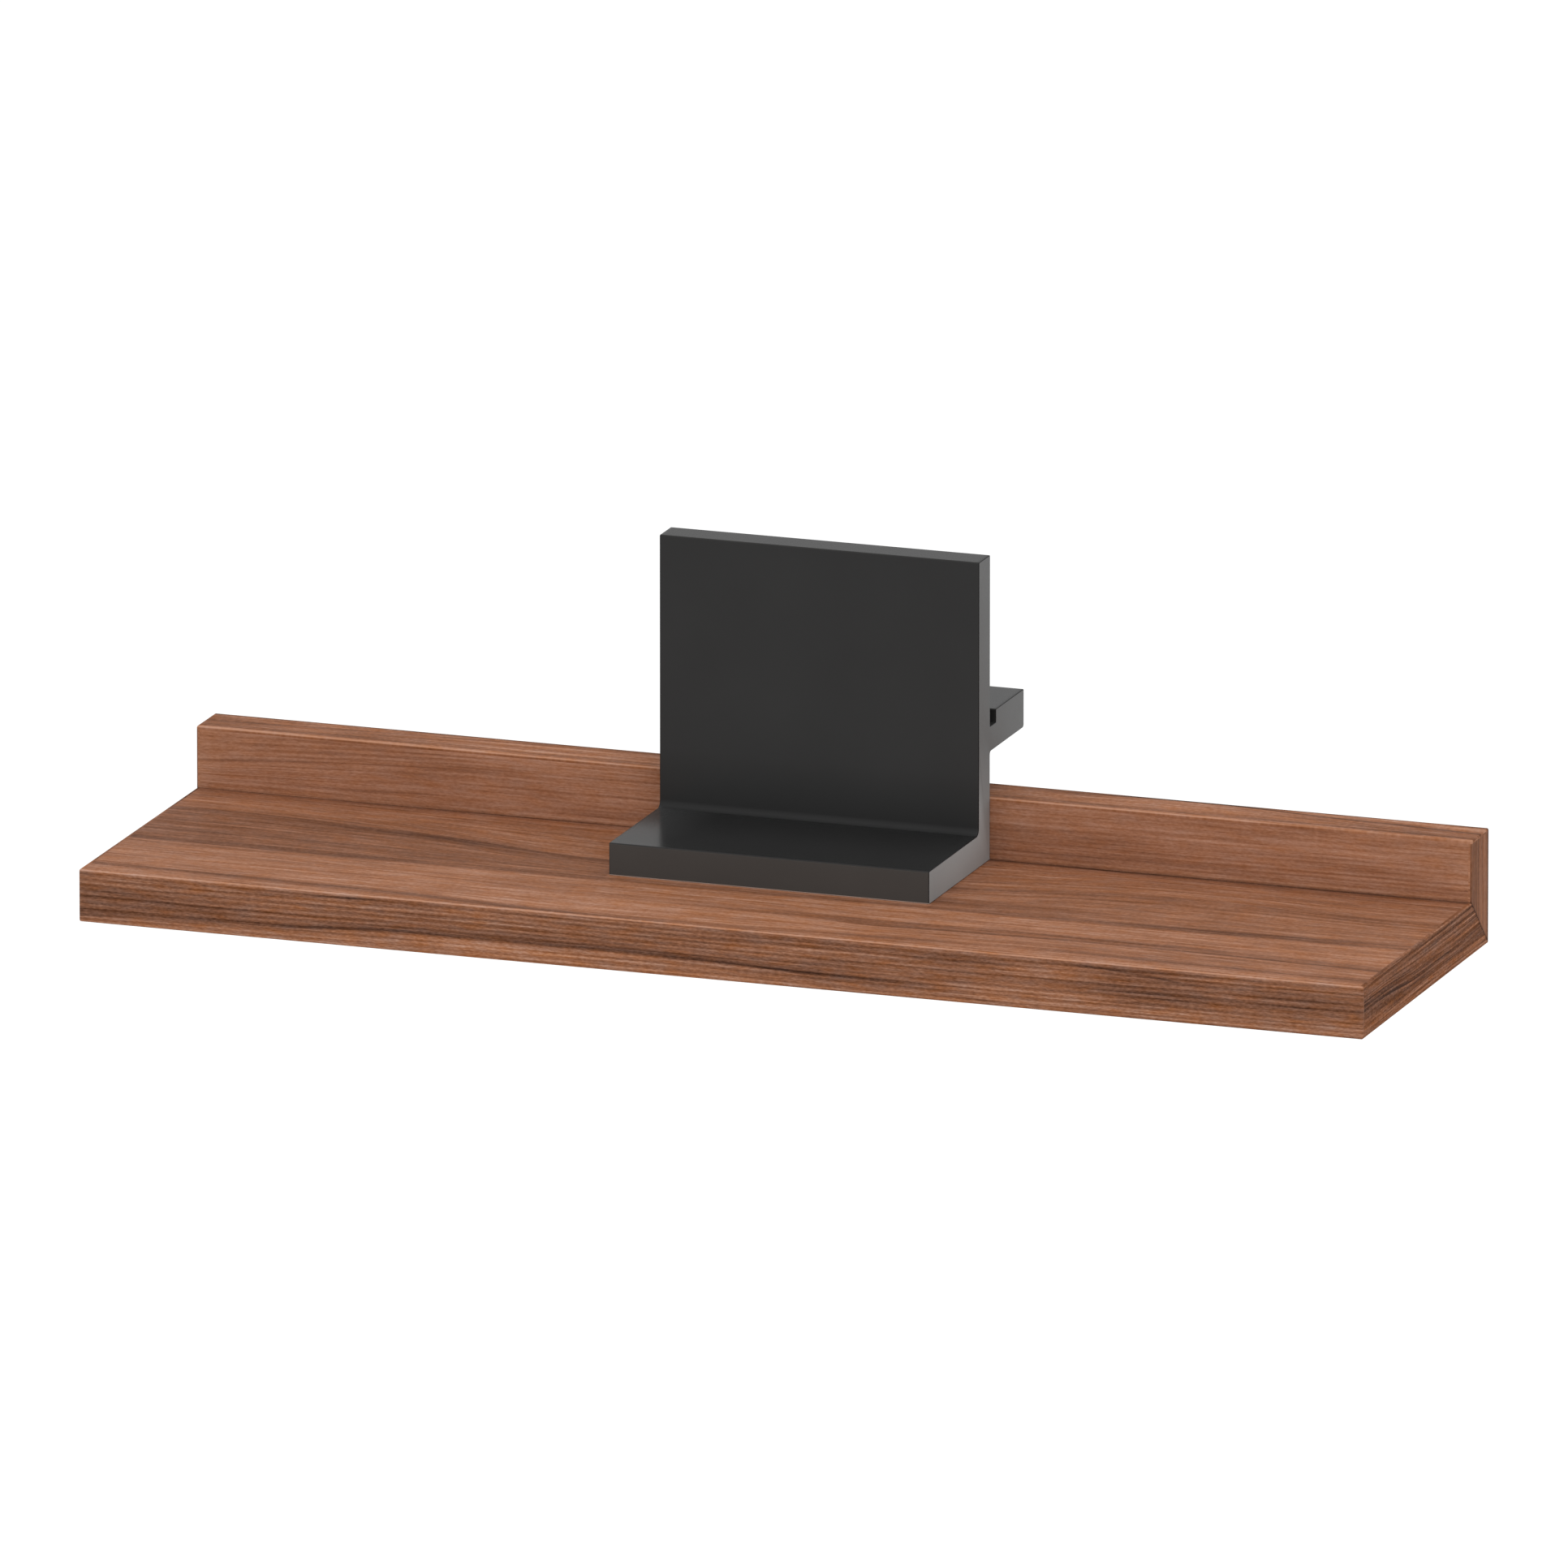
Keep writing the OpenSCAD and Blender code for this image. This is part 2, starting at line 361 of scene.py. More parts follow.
def eased_rectangle(low, high, radii, spacing):
    """Outline of a rectangle between two opposite corners, each corner eased by its own radius."""
    (left, bottom), (right, top) = low, high
    corners = [(left, bottom), (right, bottom), (right, top), (left, top)]
    return rounded_outline(corners, radii, spacing)[0]


trial = eased_rectangle((0, 0), (4, 3), [1, 1, 1, 1], 0.5)
print("a plate of 4 x 3 mm with corners of 1 mm:", len(trial), "points")

# %% [markdown]
# ## From skin to object
#
# A mesh is closed when each of its edges belongs to exactly two faces, and its faces point outwards
# when the volume inside counts as positive. Blender doesn't ask for either, so we test both. The
# object stays at the origin, because its place is in its points, as with the solids. Quads are
# shaded smooth, and only the flat faces that close a piece have more than four corners.

# %% Make the object
SHARP_FROM = math.radians(35)
QUAD_CORNERS = 4


def loose_edges(mesh):
    """Number of edges that don't belong to exactly two faces."""
    edge_numbers = np.zeros(len(mesh.loops), np.int32)
    mesh.loops.foreach_get("edge_index", edge_numbers)
    return int(np.sum(np.bincount(edge_numbers, minlength=len(mesh.edges)) != 2))


def volume_inside(mesh, points):
    """Volume as the sum over the triangles of a . (b x c) / 6, in cubic millimetres."""
    mesh.calc_loop_triangles()
    corners = np.zeros(len(mesh.loop_triangles) * 3, np.int32)
    mesh.loop_triangles.foreach_get("vertices", corners)
    a, b, c = points[corners].reshape(-1, 3, 3).transpose(1, 0, 2)
    return float(np.sum(a * np.cross(b, c)) / 6)


def make_piece(name, skin, material, node, fields=None):
    """Mesh object of a skin, with a number or a vector from each field stored at its points."""
    mesh = bpy.data.meshes.new(name)
    mesh.from_pydata((skin.points * MM).tolist(), [], skin.faces)
    volume = volume_inside(mesh, skin.points)
    if volume < 0:
        mesh.flip_normals()
    corner_counts = np.zeros(len(mesh.polygons), np.int32)
    mesh.polygons.foreach_get("loop_total", corner_counts)
    mesh.polygons.foreach_set("use_smooth", corner_counts <= QUAD_CORNERS)
    mesh.set_sharp_from_angle(angle=SHARP_FROM)
    for field, values in (fields or {}).items():
        kind, key = ("FLOAT_VECTOR", "vector") if values.ndim == 2 else ("FLOAT", "value")
        layer = mesh.attributes.new(field, kind, "POINT")
        layer.data.foreach_set(key, np.ascontiguousarray(values, np.float32).ravel())
    mesh.materials.append(material)
    piece = add_object(name, mesh)
    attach(piece, BODY)
    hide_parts(node)
    print(f"{name}: {len(mesh.loop_triangles)} triangles, {loose_edges(mesh)} loose edges,",
          f"{abs(volume) / 1000:.2f} cm3")


print(f"an edge is sharp from {math.degrees(SHARP_FROM):.0f} degrees")

# %% [markdown]
# ## Nodes in plain words
#
# A material is a small program drawn as a graph. Linking nodes one by one takes three lines each, so
# we write a helper that makes a node and fills its inputs. An input is linked when it gets a socket,
# and simply set when it gets a value. The other helpers stand on this one.

# %% Build a graph of nodes


def place_node(tree, kind, inputs, **settings):
    """Add a node, set it up, fill its inputs by name or number, and return it."""
    node = tree.nodes.new(kind)
    for name, value in settings.items():
        setattr(node, name, value)
    for key, value in inputs.items():
        if isinstance(value, bpy.types.NodeSocket):
            tree.links.new(value, node.inputs[key])
        else:
            node.inputs[key].default_value = value
    return node


def calculate(tree, operation, *values):
    """Output of a Math node."""
    return place_node(tree, "ShaderNodeMath", dict(enumerate(values)), operation=operation).outputs[0]


def weighed_sum(tree, first, *terms):
    """First value plus each term, a socket, times its weight."""
    total = first
    for socket, weight in terms:
        total = calculate(tree, "MULTIPLY_ADD", socket, weight, total)
    return total


def rescale(tree, value, low, high, new_low, new_high):
    """Map a range onto another one, without going past its ends."""
    inputs = {"Value": value, "From Min": low, "From Max": high, "To Min": new_low, "To Max": new_high}
    return place_node(tree, "ShaderNodeMapRange", inputs).outputs["Result"]


def noise(tree, place, scale, detail, roughness=0.5):
    """Smooth noise about a half, with so many bumps to each unit of its place."""
    inputs = {"Vector": place, "Scale": scale, "Detail": detail, "Roughness": roughness}
    return place_node(tree, "ShaderNodeTexNoise", inputs).outputs[0]


def stored(tree, name, output="Fac"):
    """Number, vector or colour that is stored at the points of a piece."""
    return place_node(tree, "ShaderNodeAttribute", {}, attribute_name=name).outputs[output]


print("shader nodes to choose from:", len([kind for kind in dir(bpy.types) if kind[:10] == "ShaderNode"]))

# %% Colours and materials


def light_of(shown):
    """Amount of light that stands for each value as seen on screen, 0 to 255, by the sRGB curve."""
    share = np.asarray(shown) / 255
    return np.where(share <= 0.04045, share / 12.92, ((share + 0.055) / 1.055) ** 2.4)


def linear(shown):
    """Colour for a socket, from its red, green and blue as seen on screen."""
    return (*light_of(shown).tolist(), 1.0)


def new_material(name):
    """Material with a Principled shader: its node tree and the shader."""
    material = bpy.data.materials.new(name)
    material.use_nodes = True
    tree = material.node_tree
    return material, tree, tree.nodes["Principled BSDF"]


def lay_finish(tree, shader, colour, roughness, relief, strength, depth):
    """Link a colour, a roughness and a relief of some depth in mm to the shader."""
    inputs = {"Strength": strength, "Distance": depth * MM, "Height": relief}
    tree.links.new(colour, shader.inputs["Base Color"])
    tree.links.new(roughness, shader.inputs["Roughness"])
    tree.links.new(place_node(tree, "ShaderNodeBump", inputs).outputs[0], shader.inputs["Normal"])


print("a mid grey of 128 stands for", round(float(light_of(128)), 3), "of the full light")

# %% [markdown]
# ## How walnut is drawn
#
# Sliced walnut shows long veins where it was cut across its growth rings, and between them fine
# streaks and short open pores. A noise stretched along the shelf gives streaks, but they would run
# straight through the veins. So each point of a wooden piece carries two things that we work out
# beforehand. Its "grain" tells how far along the grain it lies, and between which veins. Its "tone"
# tells how light or dark the wood is there: 0 is the usual brown, 1 is light and -1 is a dark vein.

# %% Veins as lines
ROUNDED_OVER = 16.0


def follow(along, drawn):
    """Height of a drawn line at each place along the grain.

    The line runs straight between its drawn points. It is then averaged over ROUNDED_OVER, which
    makes its bends round. A single number stands for a level line."""
    if np.isscalar(drawn):
        return np.full(np.shape(along), float(drawn))
    at, height = np.transpose(drawn)
    shifts = np.linspace(-0.5, 0.5, 9) * ROUNDED_OVER
    return np.mean([np.interp(along + shift, at, height) for shift in shifts], axis=0)


class Vein:
    """A line in the wood, darker than the rest, or lighter when its darkness is negative.

    It has a path, and a width to either side of it: one number, or one below and one above. Along
    the grain it fades. When zones meet at it, their tones change over as many mm as it is soft."""

    def __init__(self, path, dark, width, fade=1.0, soft=0.5):
        self.path = path
        self.dark = dark
        self.below, self.above = np.broadcast_to(width, 2)
        self.fade = fade
        self.soft = soft

    def shade(self, along, across):
        """Darkness d * fade * exp(-(offset / width)^2), with a width of its own on either side."""
        offset = across - follow(along, self.path)
        width = np.where(offset < 0, self.below, self.above)
        return self.dark * follow(along, self.fade) * np.exp(-(offset / width) ** 2)


def dash(path, dark, width, *stops):
    """Short vein, in full from the second to the third stop and gone at the first and the fourth."""
    return Vein(path, dark, width, list(zip(stops, (0, 1, 1, 0))))


trial = Vein(2.0, 1.0, 0.5)
print("darkness in the middle of a vein:", float(trial.shade(0.0, 2.0)))
print("and at its width from there:", round(float(trial.shade(0.0, 2.5)), 2))

# %% The wood between the veins
NARROWEST = 0.2
STEEPEST = 30.0


def tone_of(along, across, zones, veins, dashes):
    """Tone at each point: zone by zone from the first vein up, less the shade of veins and dashes.

    The tone changes from one zone to the next by a logistic step at the vein between them."""
    tone = follow(along, zones[0])
    for vein, zone, next_zone in zip(veins, zones, zones[1:]):
        height = (across - follow(along, vein.path)) / vein.soft
        step = 1 / (1 + np.exp(-np.clip(height, -STEEPEST, STEEPEST)))
        tone = tone + (follow(along, next_zone) - follow(along, zone)) * step
    for line in [*veins, *dashes]:
        tone = tone - line.shade(along, across)
    return tone


def grain_line_of(along, across, veins, low, high):
    """Distance across the grain as if every vein were level.

    Between two veins the true distance is stretched to the mean distance of the two, so that
    streaks drawn by this number stay between the veins and bend with them."""
    lines = [np.full(np.shape(along), low), *[follow(along, vein.path) for vein in veins]]
    lines.append(np.full(np.shape(along), high))
    level = np.full(np.shape(along), float(low))
    for line, next_line in zip(lines, lines[1:]):
        share = np.clip((across - line) / np.maximum(next_line - line, NARROWEST), 0, 1)
        level = level + np.mean(next_line - line) * share
    return level


level = grain_line_of(np.zeros(1), np.full(1, 2.5), [trial], 0.0, 4.0)
print("a place 2.5 mm across, between level lines, stays at", float(level[0]))

# %% [markdown]
# ## The drawing of each face
#
# These lists are a drawing in numbers. A path is a handful of points, each with its distance from
# the left end and across the face, in millimetres. Between two veins lies a zone with its own tone,
# which may change along the shelf. Dashes are shorter lines that part no zones. Random noise could
# invent veins as well, but then the shelf wouldn't be the one in the picture.

# %% The top of the board: distances from the left end and from the front edge
TOP_VEINS = [
    Vein([(0, 9.6), (50, 8), (87, 6.8), (109, 6.2), (137, 3.1), (162, 1.9), (200, 2.8), (231, 5.6),
          (275, 7.5), (306, 8.8), (331, 8.1), (356, 7.3), (400, 6.3)],
         1, (3.2, 1.4), [(0, 0.75), (60, 0.75), (100, 1), (150, 1), (200, 0.6), (290, 0.6), (320, 0.8),
          (400, 0.8)], soft=0.8),
    Vein([(0, 23), (137, 22.8), (200, 21.5), (225, 21), (237, 18.1), (275, 20), (312, 21), (356, 20),
          (400, 18)],
         0.6, (0.8, 1.2), [(0, 0), (110, 0), (140, 0.5), (225, 0.8), (245, 1)]),
    Vein([(0, 28), (77, 27.5), (107, 26.3), (135, 25), (200, 25.6), (244, 23.6), (300, 25), (331, 25),
          (362, 23.5), (400, 20.9)],
         0.5, (1.2, 0.8), [(0, 0), (70, 0.2), (135, 0.7), (400, 1)]),
    Vein([(0, 40.6), (75, 39.4), (112, 39.8), (200, 40.6), (250, 41.3), (306, 41.9), (400, 43.1)],
         0.55, (0.8, 3.5), [(0, 1), (120, 0.5), (250, 1), (400, 1)]),
    Vein([(0, 76.9), (30, 76.9), (62, 73.8), (90, 70.6), (106, 67.2), (120, 64.4), (144, 61.2),
          (190, 62), (240, 65), (272, 70), (285, 73.8), (306, 76.3), (344, 76.3), (356, 74.4),
          (375, 73.1), (400, 73.1)],
         0.6, (4.5, 1), [(0, 0.7), (60, 1), (150, 1), (230, 0.6), (400, 0.4)], soft=1.2),
    # A dark joint line, deepened with painted shade, along the inner corner at the upstand.
    Vein(100, 1.05, (1.5, 0.8), [(0, 0.5), (130, 0.6), (260, 1), (400, 1)]),
]
TOP_ZONES = [
    [(0, 0.4), (60, 0.42), (100, 0.57), (150, 0.5), (260, 0.75), (285, 0.75), (310, 0.5), (400, 0.6)],
    [(0, 0.35), (100, 0.5), (190, 0.6), (215, 0.6), (260, 0.35), (310, 0.25), (400, 0.25)],
    [(0, 0.4), (100, 0.55), (200, 0.4), (240, -0.1), (400, 0.1)],
    [(0, 0.15), (100, 0.35), (220, 0.5), (260, 0.5), (320, 0.35), (400, 0.45)],
    [(0, -0.15), (60, -0.2), (120, -0.05), (250, 0.1), (300, 0.15), (400, 0.15)],
    # Before the upstand: the wood's own tone, raised with painted light against the upstand's shade.
    [(0, 0.3), (60, 0.2), (140, 0.2), (290, 0.3), (400, 0.15)],
    0,
]
TOP_DASHES = [
    dash([(250, 73.1), (267, 77.5)], 0.5, 0.8, 240, 250, 267, 277),
    Vein([(306, 43.8), (350, 45), (375, 46.3), (400, 47.5)], 0.5, (0.8, 1.3), [(290, 0), (310, 1)]),
    dash(48, 0.3, 4, 235, 255, 290, 310),
    dash([(80, 71), (120, 68)], 0.35, (3.5, 4.5), 70, 85, 115, 130),
    # Painted shade just before the upstand; where its fade is below zero it lightens instead.
    Vein(96.5, 0.2, 2.5, [(0, 1), (70, 1), (110, 0.3), (280, -0.5), (310, 0.8), (350, 0.8), (400, 0)]),
]
print("the top of the board:", len(TOP_VEINS), "veins and", len(TOP_DASHES), "dashes")

# %% The front of the shelf: heights above the underside
FRONT_VEINS = [
    Vein([(0, 2.4), (42, 4), (67, 4.2), (83, 5.4), (94, 6), (115, 6.2), (156, 6.3), (177, 6.2),
          (200, 5.8), (216, 5.2), (231, 4.4), (247, 4.5), (258, 4.1), (275, 3.8), (400, 4.5)],
         1.15, (0.5, 0.75), [(0, 0.1), (50, 0.3), (80, 0.8), (120, 1), (200, 1), (235, 0.9),
          (262, 0.4), (276, 0)]),
    Vein([(0, 9.2), (60, 8.6), (150, 9.2), (200, 8.5), (260, 8), (320, 8.5), (400, 11)],
         0, 0.5, soft=0.7),
]
FRONT_ZONES = [
    [(0, 0.05), (40, 0.1), (80, 0.2), (140, 0.35), (200, 0.25), (240, 0), (280, 0.15), (400, 0.1)],
    [(0, -0.5), (60, -0.45), (100, -0.4), (200, -0.35), (230, -0.2), (260, -0.05), (310, -0.1),
     (320, -0.3), (332, -0.55), (346, -0.55), (356, -0.35), (400, -0.4)],
    [(0, -0.12), (60, -0.15), (120, -0.12), (160, -0.2), (240, -0.3), (280, -0.25), (300, -0.15),
     (318, -0.25), (331, -0.5), (347, -0.45), (356, -0.2), (400, -0.12)],
]
FRONT_DASHES = [
    dash([(62, 13.5), (78, 14.4), (99, 15.4)], 0.6, 0.4, 50, 62, 99, 108),
    dash([(252, 11.4), (283, 12.6)], 0.4, 1, 242, 254, 281, 292),
    dash([(273, 1.9), (288, 1)], 0.6, 0.35, 264, 273, 288, 296),
    dash([(304, 15.3), (330, 13.7), (346, 11.7)], 0.6, 0.4, 294, 306, 346, 354),
    Vein([(367, 7.5), (400, 8.1)], 0.8, 0.4, [(356, 0), (368, 1), (386, 1), (400, 0.2)]),
    Vein([(0, 3.4), (80, 4.4)], 0.3, 1, [(0, 1), (75, 1), (95, 0)]),
    Vein(10, 0.2, 1, [(0, 1), (30, 0.8), (48, -0.5), (75, -1), (90, 0)]),
    Vein(4.75, 0.3, 0.7, [(0, -0.9), (70, -0.8), (90, 0.3), (120, 0.6), (160, 0.7), (205, 1), (275, 1),
         (300, 0.8), (318, 0)]),
    Vein(8, 0.25, 1.2, [(0, 1), (60, 0.7), (90, 0), (190, 0), (210, 1), (235, 1), (250, 0)]),
    Vein(6.2, -0.35, 0.8, [(345, 0), (358, 1), (390, 1), (400, 0.5)]),
    dash(13.5, 0.25, (1.6, 1.2), 195, 215, 275, 290),
    dash(10, 0.25, 1, 275, 288, 312, 322),
    Vein(14, -0.2, 1, [(345, 0), (358, 1), (400, 1)]),
    Vein(12, 0.2, 1, [(345, 0), (358, 1), (400, 1)]),
    dash(2.2, -0.15, 1, 310, 322, 350, 358),
    dash(4, -0.3, (1.4, 1), 95, 120, 155, 165),
    dash(1.8, 0.3, 0.8, 155, 168, 195, 205),
    dash([(200, 3.6), (275, 3)], 0.3, 0.8, 160, 205, 270, 285),
    dash([(200, 10.8), (315, 11.6)], -0.45, 1.8, 192, 212, 312, 325),
    dash(5.2, -0.45, (1.4, 1.6), 268, 283, 312, 322),
    dash(8.1, 0.35, 1, 312, 322, 350, 360),
    Vein(10.1, 0.55, 1, [(352, 0), (366, 0.6), (384, 0.8), (392, 0.5), (402, -0.2)]),
]
print("the front band:", len(FRONT_VEINS), "veins and", len(FRONT_DASHES), "dashes")

# %% The front of the upstand: heights above the board
LIP_VEINS = [
    # A dark joint line, deepened with painted shade, at the foot of the upstand where it meets the board.
    Vein(0, 0.7, (0.5, 0.55), [(0, 0.4), (130, 0.5), (260, 1), (400, 1)]),
    Vein(2, 0.15, 0.4),
    Vein([(0, 8.6), (26, 10.5), (57, 12), (85, 12.8), (145, 13), (255, 11), (400, 11.5)],
         0.35, (0.35, 0.5), [(0, 1), (80, 1), (95, 0)]),
]
LIP_ZONES = [
    0,
    [(0, 0.15), (140, 0.1), (255, -0.1), (320, 0.05), (400, 0.15)],
    [(0, 0.1), (90, 0), (140, 0), (255, -0.15), (290, -0.2), (320, 0.05), (400, 0.1)],
    [(0, 0), (255, 0.05), (400, 0.15)],
]
LIP_DASHES = [
    Vein(3.6, 0.14, 0.4),
    dash([(62, 8.6), (72, 8.7)], 0.35, 0.3, 55, 62, 72, 80),
    dash([(50, 3.4), (73, 4.4)], 0.35, 0.3, 42, 50, 73, 82),
    dash([(356, 7.6), (377, 7)], 0.4, 0.35, 346, 356, 377, 386),
]
print("the front of the upstand:", len(LIP_VEINS), "veins and", len(LIP_DASHES), "dashes")

# %% The top of the upstand: distances from its front
CROWN_VEINS = [
    # A painted highlight just behind the front edge.
    Vein(0.6, -0.45, 0.8),
    Vein(2.9, 0.3, (0.9, 1.6)),
    Vein([(0, 7.3), (21, 8.8), (42, 9.9), (67, 11.4), (88, 12.7), (141, 13), (246, 12.6), (273, 13.3),
          (288, 14.6), (304, 15.5), (325, 15.2), (335, 13.3), (351, 11.6), (377, 10.3), (400, 8)],
         1.1, 0.7, [(0, 0.5), (60, 0.3), (160, 0.2), (265, 0.4), (300, 1)]),
    Vein(15, 0.7, (0.8, 0.9)),
]
CROWN_ZONES = [
    [(0, 0.1), (140, 0.15), (260, 0.3), (400, 0.25)],
    [(0, 0.15), (100, 0.05), (260, -0.1), (400, -0.15)],
    [(0, 0), (60, 0.15), (100, 0.5), (140, 0.45), (260, 0.3), (300, 0.45), (340, 0.15), (400, 0.05)],
    [(0, 0.15), (60, 0.25), (100, 0.35), (140, 0.35), (260, 0.6), (340, 0.55), (400, 0.45)],
    0.1,
]
print("the top of the upstand:", len(CROWN_VEINS), "veins")

# %% The right end of the board and of the upstand
BOARD_END_VEINS = [
    Vein([(0, 3.2), (60, 3.6), (116, 3)], 0, 0.5, soft=0.6),
    Vein([(0, 8.4), (25, 8.2), (45, 6.4), (85, 6), (116, 6.5)],
         0.4, 2, [(0, 1), (35, 0.9), (60, 0.4), (116, 0.5)]),
    # Along the top edge: a painted highlight near the front, and painted shade behind it.
    Vein(15.75, 0.5, (0.35, 0.5), [(0, -2), (12, -0.3), (25, 0.5), (40, 0.7), (75, 0.1), (116, 0)]),
]
BOARD_END_ZONES = [
    [(0, 0.15), (30, 0.1), (50, 0), (116, -0.1)],
    [(0, -0.35), (30, -0.4), (60, -0.4), (116, -0.4)],
    [(0, -0.55), (40, -0.4), (70, -0.37), (116, -0.5)],
    [(0, -0.4), (60, -0.4), (116, -0.5)],
]
BOARD_END_DASHES = [
    Vein(4.4, -0.3, 1.6, [(0, 1), (28, 1), (45, 0.3), (96, 0.3)]),
    Vein(14.4, -0.35, 1, [(0, 1), (12, 1), (22, 0)]),
    Vein(9, -0.45, 1.7, [(30, 0), (60, 0.9), (84, 1), (107, 1)]),
    Vein(12.2, 0.35, 0.8, [(30, 0), (45, 0.5), (62, 1), (84, 1), (92, 0)]),
    dash(6, 0.2, 0.8, 50, 62, 84, 92),
    Vein(9.6, 0.4, 1, [(0, 1), (6, 0.6), (14, 0)]),
]
UPSTAND_END_VEINS = [
    Vein(0.6, 0.1, (1, 1.2)),
    Vein(7.4, 0, 0.5, soft=0.4),
    Vein(11.8, 0.15, 0.5, soft=0.3),
    Vein(15.1, 1.1, (0.9, 1.5), soft=0.2),
]
UPSTAND_END_ZONES = [-0.78, -0.78, -0.4, -0.35, -0.4]
print("the ends:", len(BOARD_END_VEINS + UPSTAND_END_VEINS), "veins and", len(BOARD_END_DASHES), "dashes")

# %% [markdown]
# ## The walnut finish
#
# All the wood shares one recipe. The tone of a point, with streaks, fine fibres and pores added,
# picks its colour from a ramp of walnut browns. Walnut isn't one hue: it blushes here and there, and
# its dark streaks are redder, so a filter takes out some green and more blue. A picture of real
# veneer could be wrapped on instead, but a recipe works at any scale and never repeats. The lacquer
# is thin and satin: it hardly mirrors, and its sheen is broken by the pores. Where it is worn, and
# along eased edges where a highlight is painted in, the wood is lighter. Each face may also be lifted
# or lowered as a whole, which is painted light for how brightly that face is lit.

# %% The browns of walnut
WALNUT = [
    (-1.6, (60, 38, 29)), (-1.0, (92, 62, 48)), (-0.6, (112, 77, 60)), (-0.2, (131, 91, 71)),
    (0.1, (145, 101, 78)), (0.4, (159, 112, 87)), (0.7, (172, 124, 98)), (1.1, (188, 139, 113)),
    (1.6, (206, 160, 134)),
]
TONE_LOW = WALNUT[0][0]
TONE_SPAN = WALNUT[-1][0] - TONE_LOW
BLUSH = (0.0, -0.14, -0.32)


def vector_math(tree, operation, *values):
    """Output of a Vector Math node."""
    return place_node(tree, "ShaderNodeVectorMath", dict(enumerate(values)), operation=operation).outputs[0]


def brown_of(tree, tone, red):
    """Colour of a tone from the ramp of browns, times the filter 1 + red * BLUSH."""
    share = calculate(tree, "DIVIDE", calculate(tree, "SUBTRACT", tone, TONE_LOW), TONE_SPAN)
    ramp = place_node(tree, "ShaderNodeValToRGB", {0: share})
    stops = ramp.color_ramp.elements
    while len(stops) < len(WALNUT):
        stops.new(0.5)
    for stop, (stop_tone, shown) in zip(stops, WALNUT):
        stop.position = (stop_tone - TONE_LOW) / TONE_SPAN
        stop.color = linear(shown)
    hue = vector_math(tree, "MULTIPLY_ADD", red, BLUSH, (1, 1, 1))
    return vector_math(tree, "MULTIPLY", ramp.outputs[0], hue)


print("browns from dark to light:", len(WALNUT))

# %% What all the walnut shares
CLOUDS = 0.6
MOTTLES = 0.25
PORES = 0.35
PORE_LIMITS = (0.62, 0.74)
GROWTH_GAP = 1.6
GROWTH_SWAY = 8.0
WEAR_AND_HIGHLIGHT_TONE = 1.4
WEAR_AND_HIGHLIGHT_SHARE = 0.8
LACQUER_ROUGHNESS = 0.7
LACQUER_GLOSS = 0.05
WOOD_RELIEF = 0.05
print("growth lines lie", GROWTH_GAP, "mm apart")

# %% Mix the walnut


